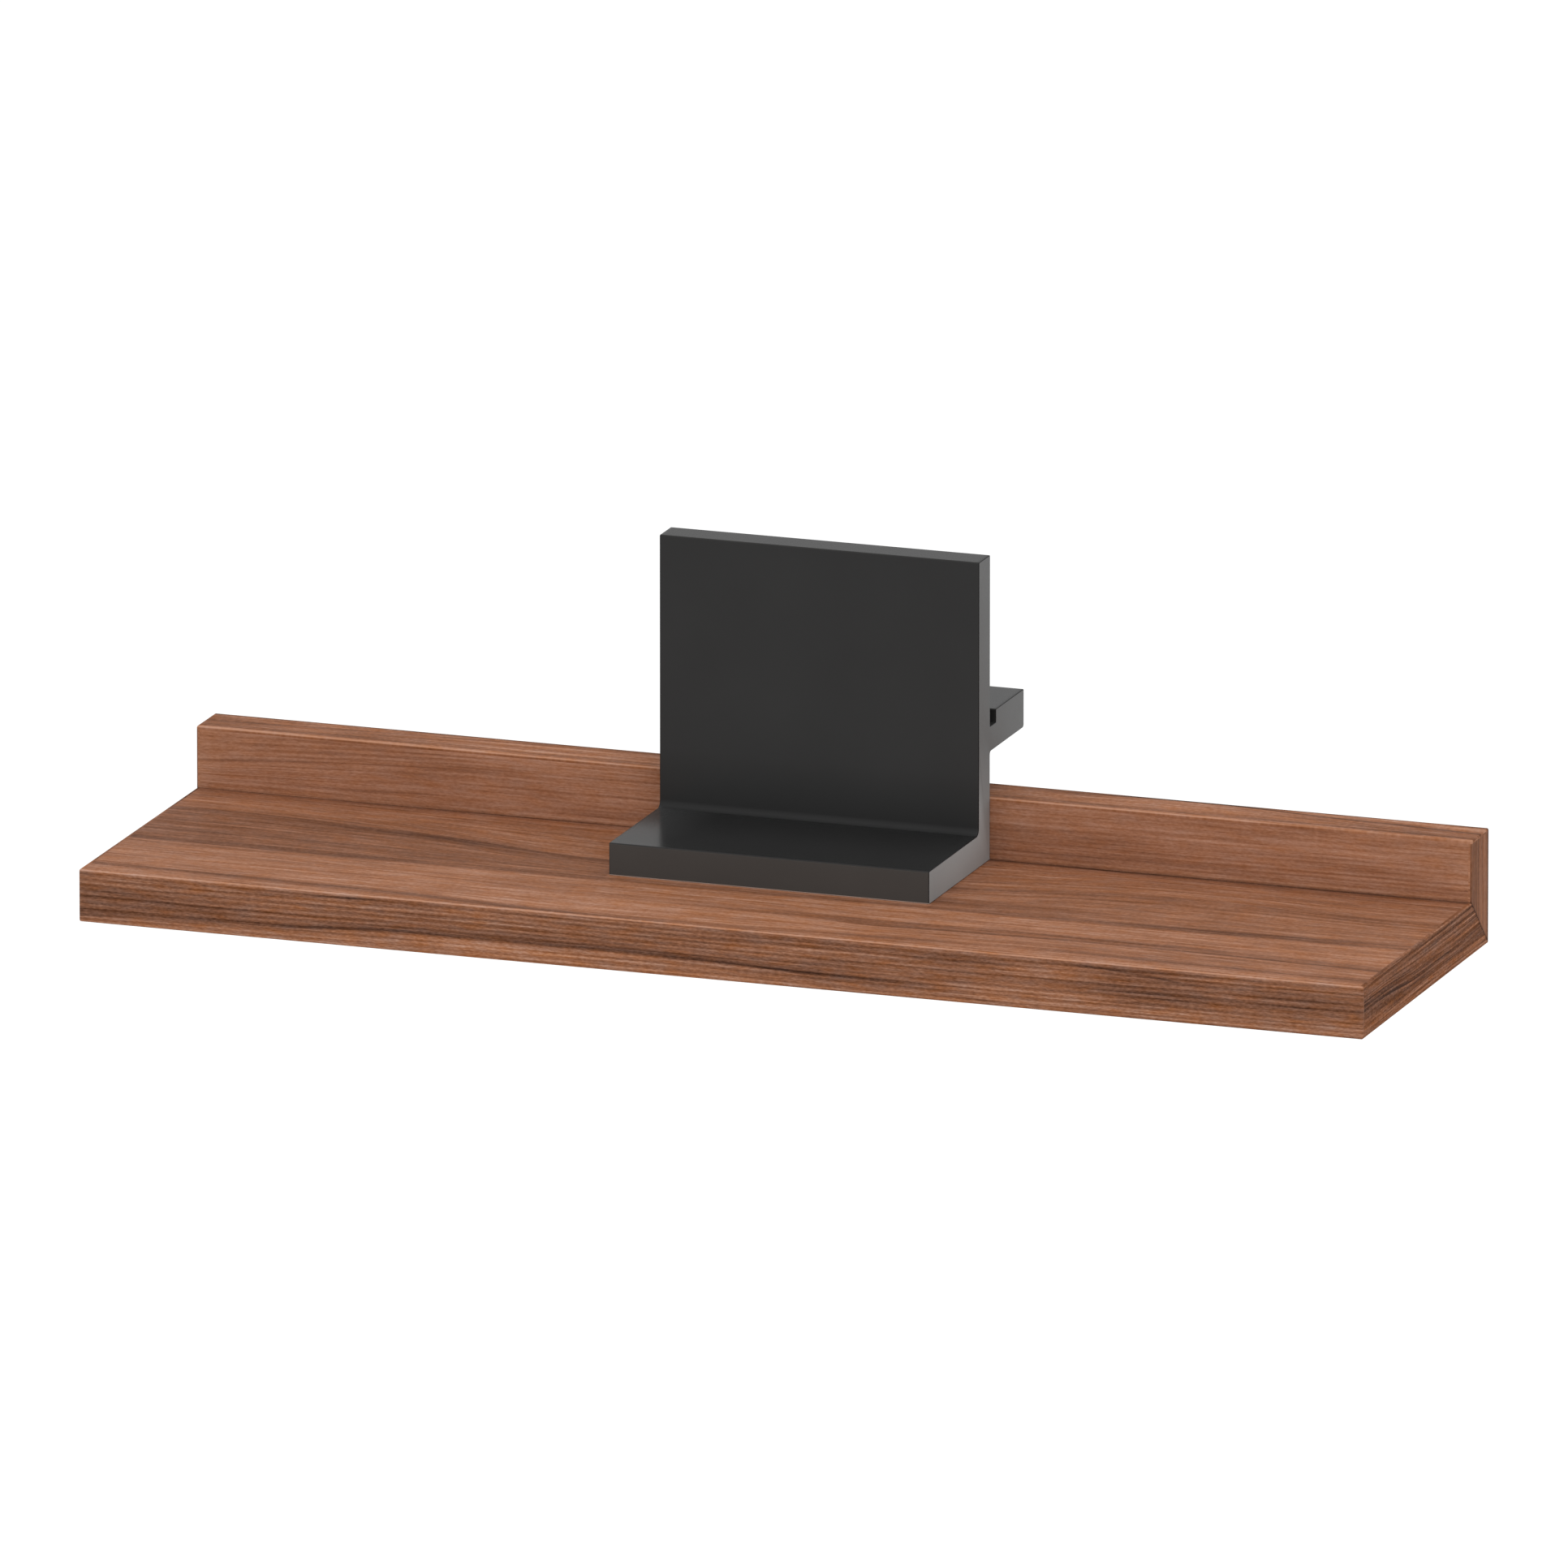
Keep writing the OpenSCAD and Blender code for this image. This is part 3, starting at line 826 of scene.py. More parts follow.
def walnut(name, streaks, length, width, fibres, waver=0.3, light=0.0, blush=0.5, mottling=4.0,
           rust=0.9, growth=0.0, flecks=0.65):
    """Walnut finish, made of noises that are long along the grain and narrow across it.

    Its streaks have a strength in steps of tone, a length and a width in mm, and waver by some mm.
    Fibres have a strength too, and flecks, short spots among them, have a share of that. Growth lines
    of some strength lie GROWTH_GAP apart and sway. Its light lifts or lowers the whole tone of a face,
    which is painted light for how brightly that face is lit. It is redder in blushes that differ by the
    mottling, and redder in dark streaks than in light ones by the rust."""
    material, tree, shader = new_material(name)
    grain = stored(tree, "grain", "Vector")
    along, level, seed = place_node(tree, "ShaderNodeSeparateXYZ", {0: grain}).outputs
    wear_and_highlight = stored(tree, "wear_and_highlight")

    def grain_noise(line, long, wide, shift, detail=1.0, roughness=0.5):
        """Noise with bumps so long along the grain and so wide across it, in mm.

        Its shift takes it to a place of its own, so that no two noises look alike."""
        inputs = {
            "X": calculate(tree, "DIVIDE", along, long),
            "Y": calculate(tree, "DIVIDE", line, wide),
            "Z": calculate(tree, "ADD", seed, shift),
        }
        place = place_node(tree, "ShaderNodeCombineXYZ", inputs).outputs[0]
        return noise(tree, place, 1.0, detail, roughness)

    drift = calculate(tree, "SUBTRACT", grain_noise(level, 24, 3.0, 3.1, 2.0), 0.5)
    line = weighed_sum(tree, level, (drift, waver))
    streak = grain_noise(line, length, width, 7.7, 2.5, 0.6)
    fibre = grain_noise(line, 20, 0.8 * width, 13.3, 1.5)
    fleck = grain_noise(line, 1.5, 0.7 * width, 17.1)
    cloud = grain_noise(level, 45, 7.0, 19.9, 2.0)
    mottle = grain_noise(level, 5, 9.0, 23.7)
    redness = grain_noise(line, 8, 3.2 * width, 37.0, 2.0)
    pore = rescale(tree, grain_noise(line, 3.2, 0.28, 29.1), *PORE_LIMITS, 0.0, 1.0)
    sway = calculate(tree, "MULTIPLY", grain_noise(level, 120, 12.0, 31.3), GROWTH_SWAY)
    turn = calculate(tree, "MULTIPLY_ADD", line, 2 * math.pi / GROWTH_GAP, sway)
    ring = calculate(tree, "SINE", turn)

    # Each noise lies about a half, so half of its weight comes off again.
    grained = weighed_sum(tree, -0.5 * (streaks + (1 + flecks) * fibres), (streak, streaks),
                          (fibre, fibres), (fleck, flecks * fibres), (ring, growth))
    tone = calculate(tree, "ADD", stored(tree, "tone"), light - 0.5 * (CLOUDS + MOTTLES))
    tone = weighed_sum(tree, tone, (grained, 1.0), (cloud, CLOUDS), (mottle, MOTTLES), (pore, -PORES))
    # Wear and the painted highlight on eased edges pull the tone towards a light brown and take out some
    # red.
    wear_and_highlight_lift = calculate(tree, "MULTIPLY", wear_and_highlight, calculate(tree, "SUBTRACT", WEAR_AND_HIGHLIGHT_TONE, tone))
    tone = weighed_sum(tree, tone, (wear_and_highlight_lift, WEAR_AND_HIGHLIGHT_SHARE))

    red = weighed_sum(tree, blush - 0.5 * mottling, (redness, mottling), (grained, -rust), (wear_and_highlight, -0.6))
    colour = brown_of(tree, tone, red)
    roughness = weighed_sum(tree, LACQUER_ROUGHNESS, (streak, -0.15), (wear_and_highlight, -0.08), (pore, 0.12))
    relief = weighed_sum(tree, 0.0, (fibre, 0.5), (pore, -0.8), (streak, 0.3))
    lay_finish(tree, shader, colour, roughness, relief, strength=0.35, depth=WOOD_RELIEF)
    shader.inputs["Specular IOR Level"].default_value = LACQUER_GLOSS
    return material


walnut_top = walnut("lacquered_walnut_top", 1.35, 75, 1.3, 1.4, blush=0.45, mottling=2.7)
print("nodes in the finish of the top:", len(walnut_top.node_tree.nodes))

# %% The finishes of the other faces
walnut_underside = walnut("lacquered_walnut_underside", 1.35, 75, 1.3, 1.4, blush=0.45, mottling=2.7)
# Each face's light lifts or lowers its whole tone: painted light for how brightly that face is lit.
walnut_upstand = walnut(
    "lacquered_walnut_upstand", 1.3, 60, 0.68, 1.0, light=0.55, blush=0.22, mottling=2.3, rust=0.5,
    growth=0.1, flecks=0.9)
walnut_front = walnut(
    "lacquered_walnut_front", 1.7, 85, 0.55, 1.05, light=0.1, blush=0.42, growth=0.28,
    mottling=4.4, flecks=1.4)
walnut_crown = walnut("lacquered_walnut_crown", 2.1, 100, 1.2, 1.7, blush=0.65, mottling=3.0)
walnut_board_end = walnut(
    "lacquered_walnut_board_end", 3.6, 90, 0.6, 2.0, waver=0.2, light=-0.07, blush=1.2, rust=1.1,
    growth=0.28, flecks=0.9)
walnut_upstand_end = walnut(
    "lacquered_walnut_upstand_end", 1.85, 70, 0.52, 1.4, light=0.55, mottling=2.3, rust=0.5)
print("walnut finishes:", len([m for m in bpy.data.materials if m.name.startswith("lacquered")]))

# %% Lay the drawing on a piece
GRAIN_FROM = -2.0


def wood_fields(along, across, veins, zones, dashes=(), seed=0.0, grain_to=120.0, bend=1.0):
    """Grain, tone, and the share of wear and painted highlight at each point of wood, none yet.

    The grain is counted from GRAIN_FROM up to grain_to across it, and bends with the veins by a share."""
    level = across + bend * (grain_line_of(along, across, veins, GRAIN_FROM, grain_to) - across)
    return {
        "grain": np.stack([along, level, np.full(len(along), seed)], axis=-1),
        "tone": tone_of(along, across, zones, veins, dashes),
        "wear_and_highlight": np.zeros(len(along)),
    }


def edge_wear_and_highlight(*distances):
    """Share of wear and painted highlight: 1 on the middle of a softened edge, 0 where the flats begin.

    Each distance is measured from the sharp edge that the arris replaced: it is r on the flats and
    r (sqrt 2 - 1) on the middle of the arc. It is the square root of the share in between."""
    middle = ARRIS * (math.sqrt(2) - 1)
    wear = [np.clip((ARRIS - distance) / (ARRIS - middle), 0, 1) for distance in distances]
    return np.sqrt(np.max(wear, axis=0))


print("wear on the middle of an arris:", float(edge_wear_and_highlight(ARRIS * (math.sqrt(2) - 1))))

# %% [markdown]
# ## The sheets of veneer
#
# A veneer is a sheet half a millimetre thick, glued to the core. Four of them make the broad faces.
# Where the board meets the upstand both are cut at 45 degrees, so a sheet's inner side is a little
# longer or shorter than its outer side. We carry the section along the shelf. Points every few
# millimetres aren't needed for the shape, but they let the drawing follow its veins. Before the
# front of the bracket's base, the tone and the share of wear and highlight are raised: this is
# painted light, against the shade that the base casts on the wood there.

# %% Carry a sheet


def sheet_rows(places, outer, inner):
    """Rows of a sheet: its outer line forwards and its inner line backwards, at each place along X."""
    section = np.concatenate([outer, inner[::-1]])
    rows = np.zeros((len(places), len(section), 3))
    rows[..., 0] = places[:, None]
    rows[..., 1:] = section
    return rows


def drilled_sheet(places, outer, inner, holes=(), radius=0.0, half=0.0):
    """Skin of a sheet with a round hole through it at each of the given places."""
    columns = len(outer)
    last = 2 * columns - 1
    patches = [patch_round(places, outer[:, 0], hole, half) for hole in holes]
    mirrored = [(top, bottom, last - right, last - left) for top, bottom, left, right in patches]
    skin = Skin()
    numbers = skin.carry(sheet_rows(places, outer, inner), patches + mirrored)
    for patch, hole in zip(patches, holes):
        row, column = rim_of(patch)
        rim = numbers[row, column]
        far_rim = numbers[row, last - column]
        near = skin.add_points(circle_facing(skin.points[rim], hole, radius, outer[0, 1]))
        far = skin.add_points(circle_facing(skin.points[rim], hole, radius, inner[0, 1]))
        skin.join(rim, near)
        skin.join(near, far)
        skin.join(far, far_rim)
    return skin


def level_line(start, end, height, count):
    """Level line of points in the (y, z) plane."""
    return np.stack([np.linspace(start, end, count), np.full(count, height)], axis=-1)


def upright_line(depth, low, high, count):
    """Upright line of points in the (y, z) plane."""
    return np.stack([np.full(count, depth), np.linspace(low, high, count)], axis=-1)


def mitre_at(height):
    """Place along Y of the board's slanted cut at a height."""
    return BACK_Y - GLUE - height


ALONG_COUNT = 200
places = np.linspace(-FIELD, FIELD, ALONG_COUNT)
print("mitre of the board from y =", mitre_at(0), "to", mitre_at(BOARD_TOP))

# %% The top of the board
PAINTED_LIGHT_TONE = 0.5
PAINTED_LIGHT_REACH = 4.0
PAINTED_LIGHT_LIFT = 0.75
PAINTED_LIGHT_LIFT_REACH = 1.0

outer = level_line(mitre_at(BOARD_TOP), FRONT_Y + BAND, BOARD_TOP, count=141)
inner = level_line(mitre_at(BOARD_TOP - VENEER), FRONT_Y + BAND, BOARD_TOP - VENEER, count=141)
skin = drilled_sheet(places, outer, inner, SCREW_PLACES, SHANK_HOLE, SHANK_PATCH)
x, y, z = skin.points.T
fields = wood_fields(x + HALF_LENGTH, y - FRONT_Y, TOP_VEINS, TOP_ZONES, TOP_DASHES, seed=1.0)
# Painted light: before the front of the bracket's base the tone is raised, against the base's shade.
before = bracket_low[1] - y
painted_light_before_base = (before > -PAINTED_LIGHT_LIFT_REACH) & (np.abs(x) < bracket_high[0])
fields["tone"] += PAINTED_LIGHT_TONE * painted_light_before_base * np.exp(-before.clip(0) / PAINTED_LIGHT_REACH)
fields["wear_and_highlight"] += PAINTED_LIGHT_LIFT * painted_light_before_base * np.exp(-before.clip(0) / PAINTED_LIGHT_LIFT_REACH)
make_piece("walnut_board_top", skin, walnut_top, "board_top_veneer", fields)

# %% The underside of the board
outer = level_line(FRONT_Y + BAND, mitre_at(0), 0.0, count=101)
inner = level_line(FRONT_Y + BAND, mitre_at(VENEER), VENEER, count=101)
skin = drilled_sheet(places, outer, inner, SCREW_PLACES, CAP_HOLE, CAP_PATCH)
x, y, z = skin.points.T
fields = wood_fields(HALF_LENGTH - x, y - FRONT_Y, TOP_VEINS, TOP_ZONES, TOP_DASHES[:2], seed=2.0)
make_piece("walnut_board_underside", skin, walnut_underside,
           "board_underside_veneer", fields)

# %% The front of the upstand
crown_z = UPSTAND_TOP - BAND
outer = upright_line(CORNER_Y, BACK_Y - CORNER_Y + GLUE, crown_z, count=73)
inner = upright_line(CORNER_Y + VENEER, BACK_Y - CORNER_Y - VENEER + GLUE, crown_z, count=73)
skin = drilled_sheet(places, outer, inner)


def lip_fields(x, z):
    """Grain, tone and wear on the front of the upstand."""
    return wood_fields(
        x + HALF_LENGTH, z - BOARD_TOP, LIP_VEINS, LIP_ZONES, LIP_DASHES, seed=3.0, grain_to=22.0)


x, y, z = skin.points.T
make_piece("walnut_upstand_front", skin, walnut_upstand,
           "upstand_front_veneer", lip_fields(x, z))

# %% The back of the upstand
BACK_SHIFT = 32.0

outer = upright_line(BACK_Y, crown_z, GLUE, count=71)
inner = upright_line(BACK_Y - VENEER, crown_z, VENEER + GLUE, count=71)
skin = drilled_sheet(places, outer, inner)


def back_fields(x, z):
    """Grain, tone and wear on the back of the upstand: another part of the drawing of the top."""
    return wood_fields(HALF_LENGTH - x, z + BACK_SHIFT, TOP_VEINS, TOP_ZONES, seed=4.0)


x, y, z = skin.points.T
make_piece("walnut_upstand_back", skin, walnut_upstand,
           "upstand_back_veneer", back_fields(x, z))

# %% [markdown]
# ## The long bands
#
# A band is a strip of walnut a millimetre thick that hides the raw edge of the board. The front
# band and the band on the upstand run the whole length. Their outer edges are eased with sandpaper
# along all sides, also round the ends. So the section shrinks a little towards its glued side over
# the last half millimetre at both ends, by the same quarter circle as its own corners.

# %% Carry a band with eased ends


def eased_places(half_length, radius, count, steps=5):
    """Places along X, and how far the section is eased there.

    On the quarter circle at an end, the place lies r (1 - sin w) before the end and is eased by
    r (1 - cos w)."""
    turn = np.linspace(0, np.pi / 2, steps + 1)
    near_end = half_length - radius * (1 - np.sin(turn))
    easing = radius * (1 - np.cos(turn))
    middle = np.linspace(-half_length + radius, half_length - radius, count)[1:-1]
    at = np.concatenate([-near_end[::-1], middle, near_end])
    return at, np.concatenate([easing[::-1], 0 * middle, easing])


def eased_band(section, anchor, reach):
    """Skin of a section that shrinks towards an anchor by its easing, relative to its reach from it."""
    at, easing = eased_places(HALF_LENGTH, ARRIS, ALONG_COUNT)
    share = 1 - easing[:, None, None] / np.array(reach)
    rows = np.zeros((len(at), len(section), 3))
    rows[..., 0] = at[:, None]
    rows[..., 1:] = anchor + (section - anchor) * share
    skin = Skin()
    skin.carry(rows)
    return skin


print("rows of points along a band:", len(eased_places(HALF_LENGTH, ARRIS, ALONG_COUNT)[0]))

# %% The band on the front edge
TOP_LINE = 0.3
TOP_LINE_TONE = 0.3
LOWER_SPARED = 0.7 * ARRIS

section = eased_rectangle((FRONT_Y, 0), (FRONT_Y + BAND, BOARD_TOP), [ARRIS, 0, 0, ARRIS], 0.25)
skin = eased_band(section, np.array([FRONT_Y + BAND, BOARD_TOP / 2]), [BAND, BOARD_TOP / 2])
x, y, z = skin.points.T
fields = wood_fields(
    x + HALF_LENGTH, z, FRONT_VEINS, FRONT_ZONES, FRONT_DASHES, seed=5.0, grain_to=18.0, bend=0.35)
on_top = np.clip((z - (BOARD_TOP - TOP_LINE)) / TOP_LINE, 0, 1)
fields["tone"] += on_top * (TOP_LINE_TONE - fields["tone"])
# The top edge gets wear and a painted highlight; the lower edge is spared.
lower_edge = LOWER_SPARED + np.hypot(y - FRONT_Y, z)
fields["wear_and_highlight"] = edge_wear_and_highlight(np.hypot(y - FRONT_Y, z - BOARD_TOP), lower_edge)
make_piece("walnut_front_band", skin, walnut_front, "front_edge_band", fields)

# %% The band on top of the upstand
LESS_WEAR_AND_HIGHLIGHT_FROM = FIELD - 70
LEAST_WEAR_AND_HIGHLIGHT_FROM = FIELD - 30
LEAST_WEAR_AND_HIGHLIGHT = 0.15

section = eased_rectangle((CORNER_Y, crown_z), (BACK_Y, UPSTAND_TOP), [0, 0, ARRIS, ARRIS], 0.35)
middle_y = (CORNER_Y + BACK_Y) / 2
skin = eased_band(section, np.array([middle_y, crown_z]), [(BACK_Y - CORNER_Y) / 2, BAND])
x, y, z = skin.points.T
fields = wood_fields(
    x + HALF_LENGTH, y - CORNER_Y, CROWN_VEINS, CROWN_ZONES, seed=6.0, grain_to=18.0)
# The front edge gets wear and a painted highlight, both fading towards the right end.
fields["wear_and_highlight"] = edge_wear_and_highlight(np.hypot(y - CORNER_Y, z - UPSTAND_TOP))
fields["wear_and_highlight"] *= np.interp(x, [LESS_WEAR_AND_HIGHLIGHT_FROM, LEAST_WEAR_AND_HIGHLIGHT_FROM], [1.0, LEAST_WEAR_AND_HIGHLIGHT])
make_piece("walnut_upstand_crown", skin, walnut_crown, "upstand_top_band", fields)

# %% [markdown]
# ## The end bands
#
# The ends are banded too, but there the grain runs the other way: from front to back on the board,
# and upwards on the upstand. Both are mitred, so their grain meets at 45 degrees, as in a picture
# frame. Here the section lies across the band, and each row of points stops at the slanted cut. A
# band's own edge, seen from the front or from the back, carries on the drawing of the veneer there.

# %% Carry an end band
CROWDING = 1.6
MITRE_DARK = 0.7
MITRE_HALVED_AT = 0.35


def end_band_section(low, high):
    """Section of an end band as (x, across): flat inside, with its outer edges eased."""
    return eased_rectangle((FIELD, low), (HALF_LENGTH, high), [0, ARRIS, ARRIS, 0], 0.3)


def blend(start, end, share):
    """Points from start to end by their shares, for each point of the section."""
    return start[None, :] + (end - start)[None, :] * share[:, None]


def eased_x(x, distance):
    """Distance from the middle of the shelf, drawn in near an edge by the quarter circle there."""
    depth = ARRIS - np.clip(distance, 0, ARRIS)
    easing = ARRIS - np.sqrt(np.maximum(ARRIS ** 2 - depth ** 2, 0))
    return np.where(x > FIELD + NEAR, np.maximum(x - easing, FIELD + NEAR), x)


def board_end_skin(side):
    """Band on an end of the board: the section (x, z) carried along Y up to y = mitre - z."""
    x, z = end_band_section(0.0, BOARD_TOP).T
    share = 1 - np.linspace(1, 0, 150) ** CROWDING
    y = blend(np.full(len(z), FRONT_Y + BAND), mitre_at(z), share)
    rows = np.stack([side * eased_x(x + 0 * y, BACK_Y - y), y, z + 0 * y], axis=-1)
    skin = Skin()
    skin.carry(rows)
    return skin


def upstand_end_skin(side):
    """Band on an end of the upstand: the section (x, y) carried upwards from z = mitre - y."""
    x, y = end_band_section(CORNER_Y, BACK_Y).T
    share = np.linspace(0, 1, 60) ** CROWDING
    z = blend(BACK_Y - y + GLUE, np.full(len(y), crown_z), share)
    rows = np.stack([side * x + 0 * z, y + 0 * z, z], axis=-1)
    skin = Skin()
    skin.carry(rows)
    return skin


def mitre_shade(y, z):
    """Dark glue line on the slanted cut y + z = back, half as dark at MITRE_HALVED_AT from the cut."""
    offset = (BACK_Y - y - z) / math.sqrt(2)
    return MITRE_DARK * 0.5 ** (offset / MITRE_HALVED_AT) ** 2


print("points round an end band of the board:", len(end_band_section(0.0, BOARD_TOP)))

# %% Make the four end bands
LOWER_EDGE_WEAR_AND_HIGHLIGHT = 0.6

for side, word, seed in ((-1, "left", 10.0), (1, "right", 17.0)):
    skin = board_end_skin(side)
    x, y, z = skin.points.T
    fields = wood_fields(
        y - FRONT_Y, z, BOARD_END_VEINS, BOARD_END_ZONES, BOARD_END_DASHES, seed, grain_to=18.0)
    fields["tone"] -= mitre_shade(y, z)
    # The lower outer edge gets wear and a painted highlight.
    fields["wear_and_highlight"] = LOWER_EDGE_WEAR_AND_HIGHLIGHT * edge_wear_and_highlight(np.hypot(np.abs(x) - HALF_LENGTH, z))
    make_piece(f"walnut_board_end_{word}", skin, walnut_board_end,
               f"board_{word}_band", fields)

    skin = upstand_end_skin(side)
    x, y, z = skin.points.T
    fields = wood_fields(
        z, y - CORNER_Y, UPSTAND_END_VEINS, UPSTAND_END_ZONES, seed=seed + 1, grain_to=18.0)
    fields["tone"] -= mitre_shade(y, z)
    for strip, strip_fields in ((y < CORNER_Y + NEAR, lip_fields), (y > BACK_Y - NEAR, back_fields)):
        for field, values in strip_fields(x, z).items():
            fields[field][strip] = values[strip]
    make_piece(f"walnut_upstand_end_{word}", skin, walnut_upstand_end,
               f"upstand_{word}_band", fields)

# %% [markdown]
# ## The bracket
#
# The bracket is one aluminium extrusion: a base that stands on the board, an upright, and an arm
# behind it with a groove for the rail. An extrusion is exactly a section carried along a line, so
# that is how we make it. Its sawn ends are deburred, so the section draws in a quarter of a
# millimetre there, along its normals. Four blind holes in its base take the screws.

# %% Draw the bracket's section
BASE_TOP_Z = BOARD_TOP + PLATE
UPRIGHT_FRONT_Y = UPRIGHT_BACK_Y - PLATE
ARM_TOP_Z = ARM_UNDER_Z + ARM
GROOVE_BACK_Y = UPRIGHT_BACK_Y + GROOVE

bracket_corners = [
    (bracket_low[1], BOARD_TOP, BRACKET_ARRIS),
    (UPRIGHT_BACK_Y, BOARD_TOP, BRACKET_ARRIS),
    (UPRIGHT_BACK_Y, ARM_UNDER_Z, ARM_ROUND),
    (bracket_high[1], ARM_UNDER_Z, ARM_ROUND),
    (bracket_high[1], ARM_TOP_Z, BRACKET_ARRIS),
    (GROOVE_BACK_Y, ARM_TOP_Z, BRACKET_ARRIS),
    (GROOVE_BACK_Y, GROOVE_FLOOR_Z, GROOVE_ROUND),
    (UPRIGHT_BACK_Y, GROOVE_FLOOR_Z, GROOVE_ROUND),
    (UPRIGHT_BACK_Y, bracket_high[2], BRACKET_ARRIS),
    (UPRIGHT_FRONT_Y, bracket_high[2], BRACKET_ARRIS),
    (UPRIGHT_FRONT_Y, BASE_TOP_Z, FOOT_ROUND),
    (bracket_low[1], BASE_TOP_Z, BRACKET_ARRIS),
]
corners = [corner[:2] for corner in bracket_corners]
radii = [corner[2] for corner in bracket_corners]
section, normals = rounded_outline(corners, radii, 1.0, steps=8)
print("points round the bracket's section:", len(section))

# %% Carry it and drill its base
at, easing = eased_places(bracket_high[0], SAWN_ARRIS, count=101, steps=4)
rows = np.zeros((len(at), len(section), 3))
rows[..., 0] = at[:, None]
rows[..., 1:] = section - normals * easing[:, None, None]

underneath = np.flatnonzero(np.isclose(section[:, 1], BOARD_TOP))
first = int(underneath[0])
patches = [patch_round(at, section[underneath, 0], hole, SHANK_PATCH, first) for hole in SCREW_PLACES]
bracket_skin = Skin()
numbers = bracket_skin.carry(rows, patches)
for patch, hole in zip(patches, SCREW_PLACES):
    rim = numbers[rim_of(patch)]
    seen = bracket_skin.points[rim]
    mouth = bracket_skin.add_points(circle_facing(seen, hole, SHANK_HOLE, BOARD_TOP))
    bottom = bracket_skin.add_points(circle_facing(seen, hole, SHANK_HOLE, BOARD_TOP + TAPPED_DEPTH))
    bracket_skin.join(rim, mouth)
    bracket_skin.join(mouth, bottom)
    bracket_skin.close(bottom)
print("blind holes in the base:", len(patches))

# %% [markdown]
# ## The black finish
#
# The bracket is powder coated: black, satin and faintly uneven, like fine orange peel. A black thing
# is seen by what it mirrors, and a weaker refraction than that of glass keeps its sheen soft. No two
# of its faces are equally black. One colour could leave that to the light, but the room isn't known,
# so each point gets its own grey, laid on in layers, and most of them are painted light. The sawn
# ends are a lighter grey, their own finish with painted light on it, lighter still low down. The
# front of the upright gets painted light and shade by height, the base painted shade in its corner
# and a painted reflection at its left end, and the top of the upright painted shade. The long edges
# and the front of the base get a painted sheen, the lower front edge of the base and the foot a
# painted highlight, and the eased sawn ends a painted dark line.

# %% Mix the powder coat
PEEL_SIZE = 0.7
PEEL_DEPTH = 0.04
CLOUDS_PER_METRE = 35.0
CLOUDING = 0.2
COAT_REFRACTION = 1.13


def powder_coat(name):
    """Satin powder coat with an orange peel. Its colour and roughness lie in the points."""
    material, tree, shader = new_material(name)
    place = place_node(tree, "ShaderNodeTexCoord", {}).outputs["Object"]
    peel = noise(tree, place, 1 / (PEEL_SIZE * MM), 2.0)
    broad = noise(tree, place, CLOUDS_PER_METRE, 3.0)
    brightness = calculate(tree, "MULTIPLY_ADD", broad, CLOUDING, 1 - CLOUDING / 2)
    clouded = {0: stored(tree, "coat", "Color"), "Scale": brightness}
    colour = place_node(tree, "ShaderNodeVectorMath", clouded, operation="SCALE").outputs[0]
    roughness = weighed_sum(tree, stored(tree, "roughness"), (broad, 0.02))
    lay_finish(tree, shader, colour, roughness, peel, strength=0.12, depth=PEEL_DEPTH)
    shader.inputs["IOR"].default_value = COAT_REFRACTION
    return material


black_bracket = powder_coat("satin_black_coat")
print("coat:", black_bracket.name)

# %% The greys of the coat
# COAT is the coat's own grey. The others are painted light, shade, sheen, reflection or highlight, as marked
# below.
COAT = (46, 46, 46)
CORNER_SHADE_GREY = (40, 40, 40)
LEFT_REFLECTION_GREY = (60, 60, 60)
TOP_SHADE_GREY = (30, 30, 30)
FRONT_SHADING_GREYS = [(26, 50), (34, 54), (44, 58), (60, 57), (90, 54), (109, 53)]
PAINTED_SHEEN_GREY = (75, 73, 71)
PAINTED_SHEEN_SHARE = 0.25
FOOT_HIGHLIGHT_GREY = (50, 50, 50)
SAWN_AND_LIT_GREY = (120, 121, 121)
SAWN_LOW_BOUNCE_GREY = (160, 163, 164)
END_SHADE_LINE_GREY = (24, 24, 24)
LOWER_EDGE_HIGHLIGHT_GREY = (190, 176, 166)
IN_CORNER_Y = (5, 29)
AT_LEFT_X = (-48, -30)
AT_LEFT_Y = (-5, 5)
LOW_DOWN_Z = (34, 50)
LOW_DOWN_SHARES = (0.8, 1.3)
HIGHLIGHT_WITHIN = 0.95 * BRACKET_ARRIS
SATIN = 0.2
SAWN_ROUGHNESS = 0.7
print("heights at which the grey of the front is given:", len(FRONT_SHADING_GREYS))

# %% Lay the coat on the bracket


def edge_sheen_share(points):
    """Painted sheen on the long outer edges, by the distance to the sharp edge that each arris replaced."""
    wear = np.zeros(len(points))
    for y, z, radius in bracket_corners:
        if radius == BRACKET_ARRIS:
            near = radius - np.hypot(points[:, 1] - y, points[:, 2] - z)
            wear = np.maximum(wear, np.clip(near / (radius * (2 - math.sqrt(2))), 0, 1))
    return wear


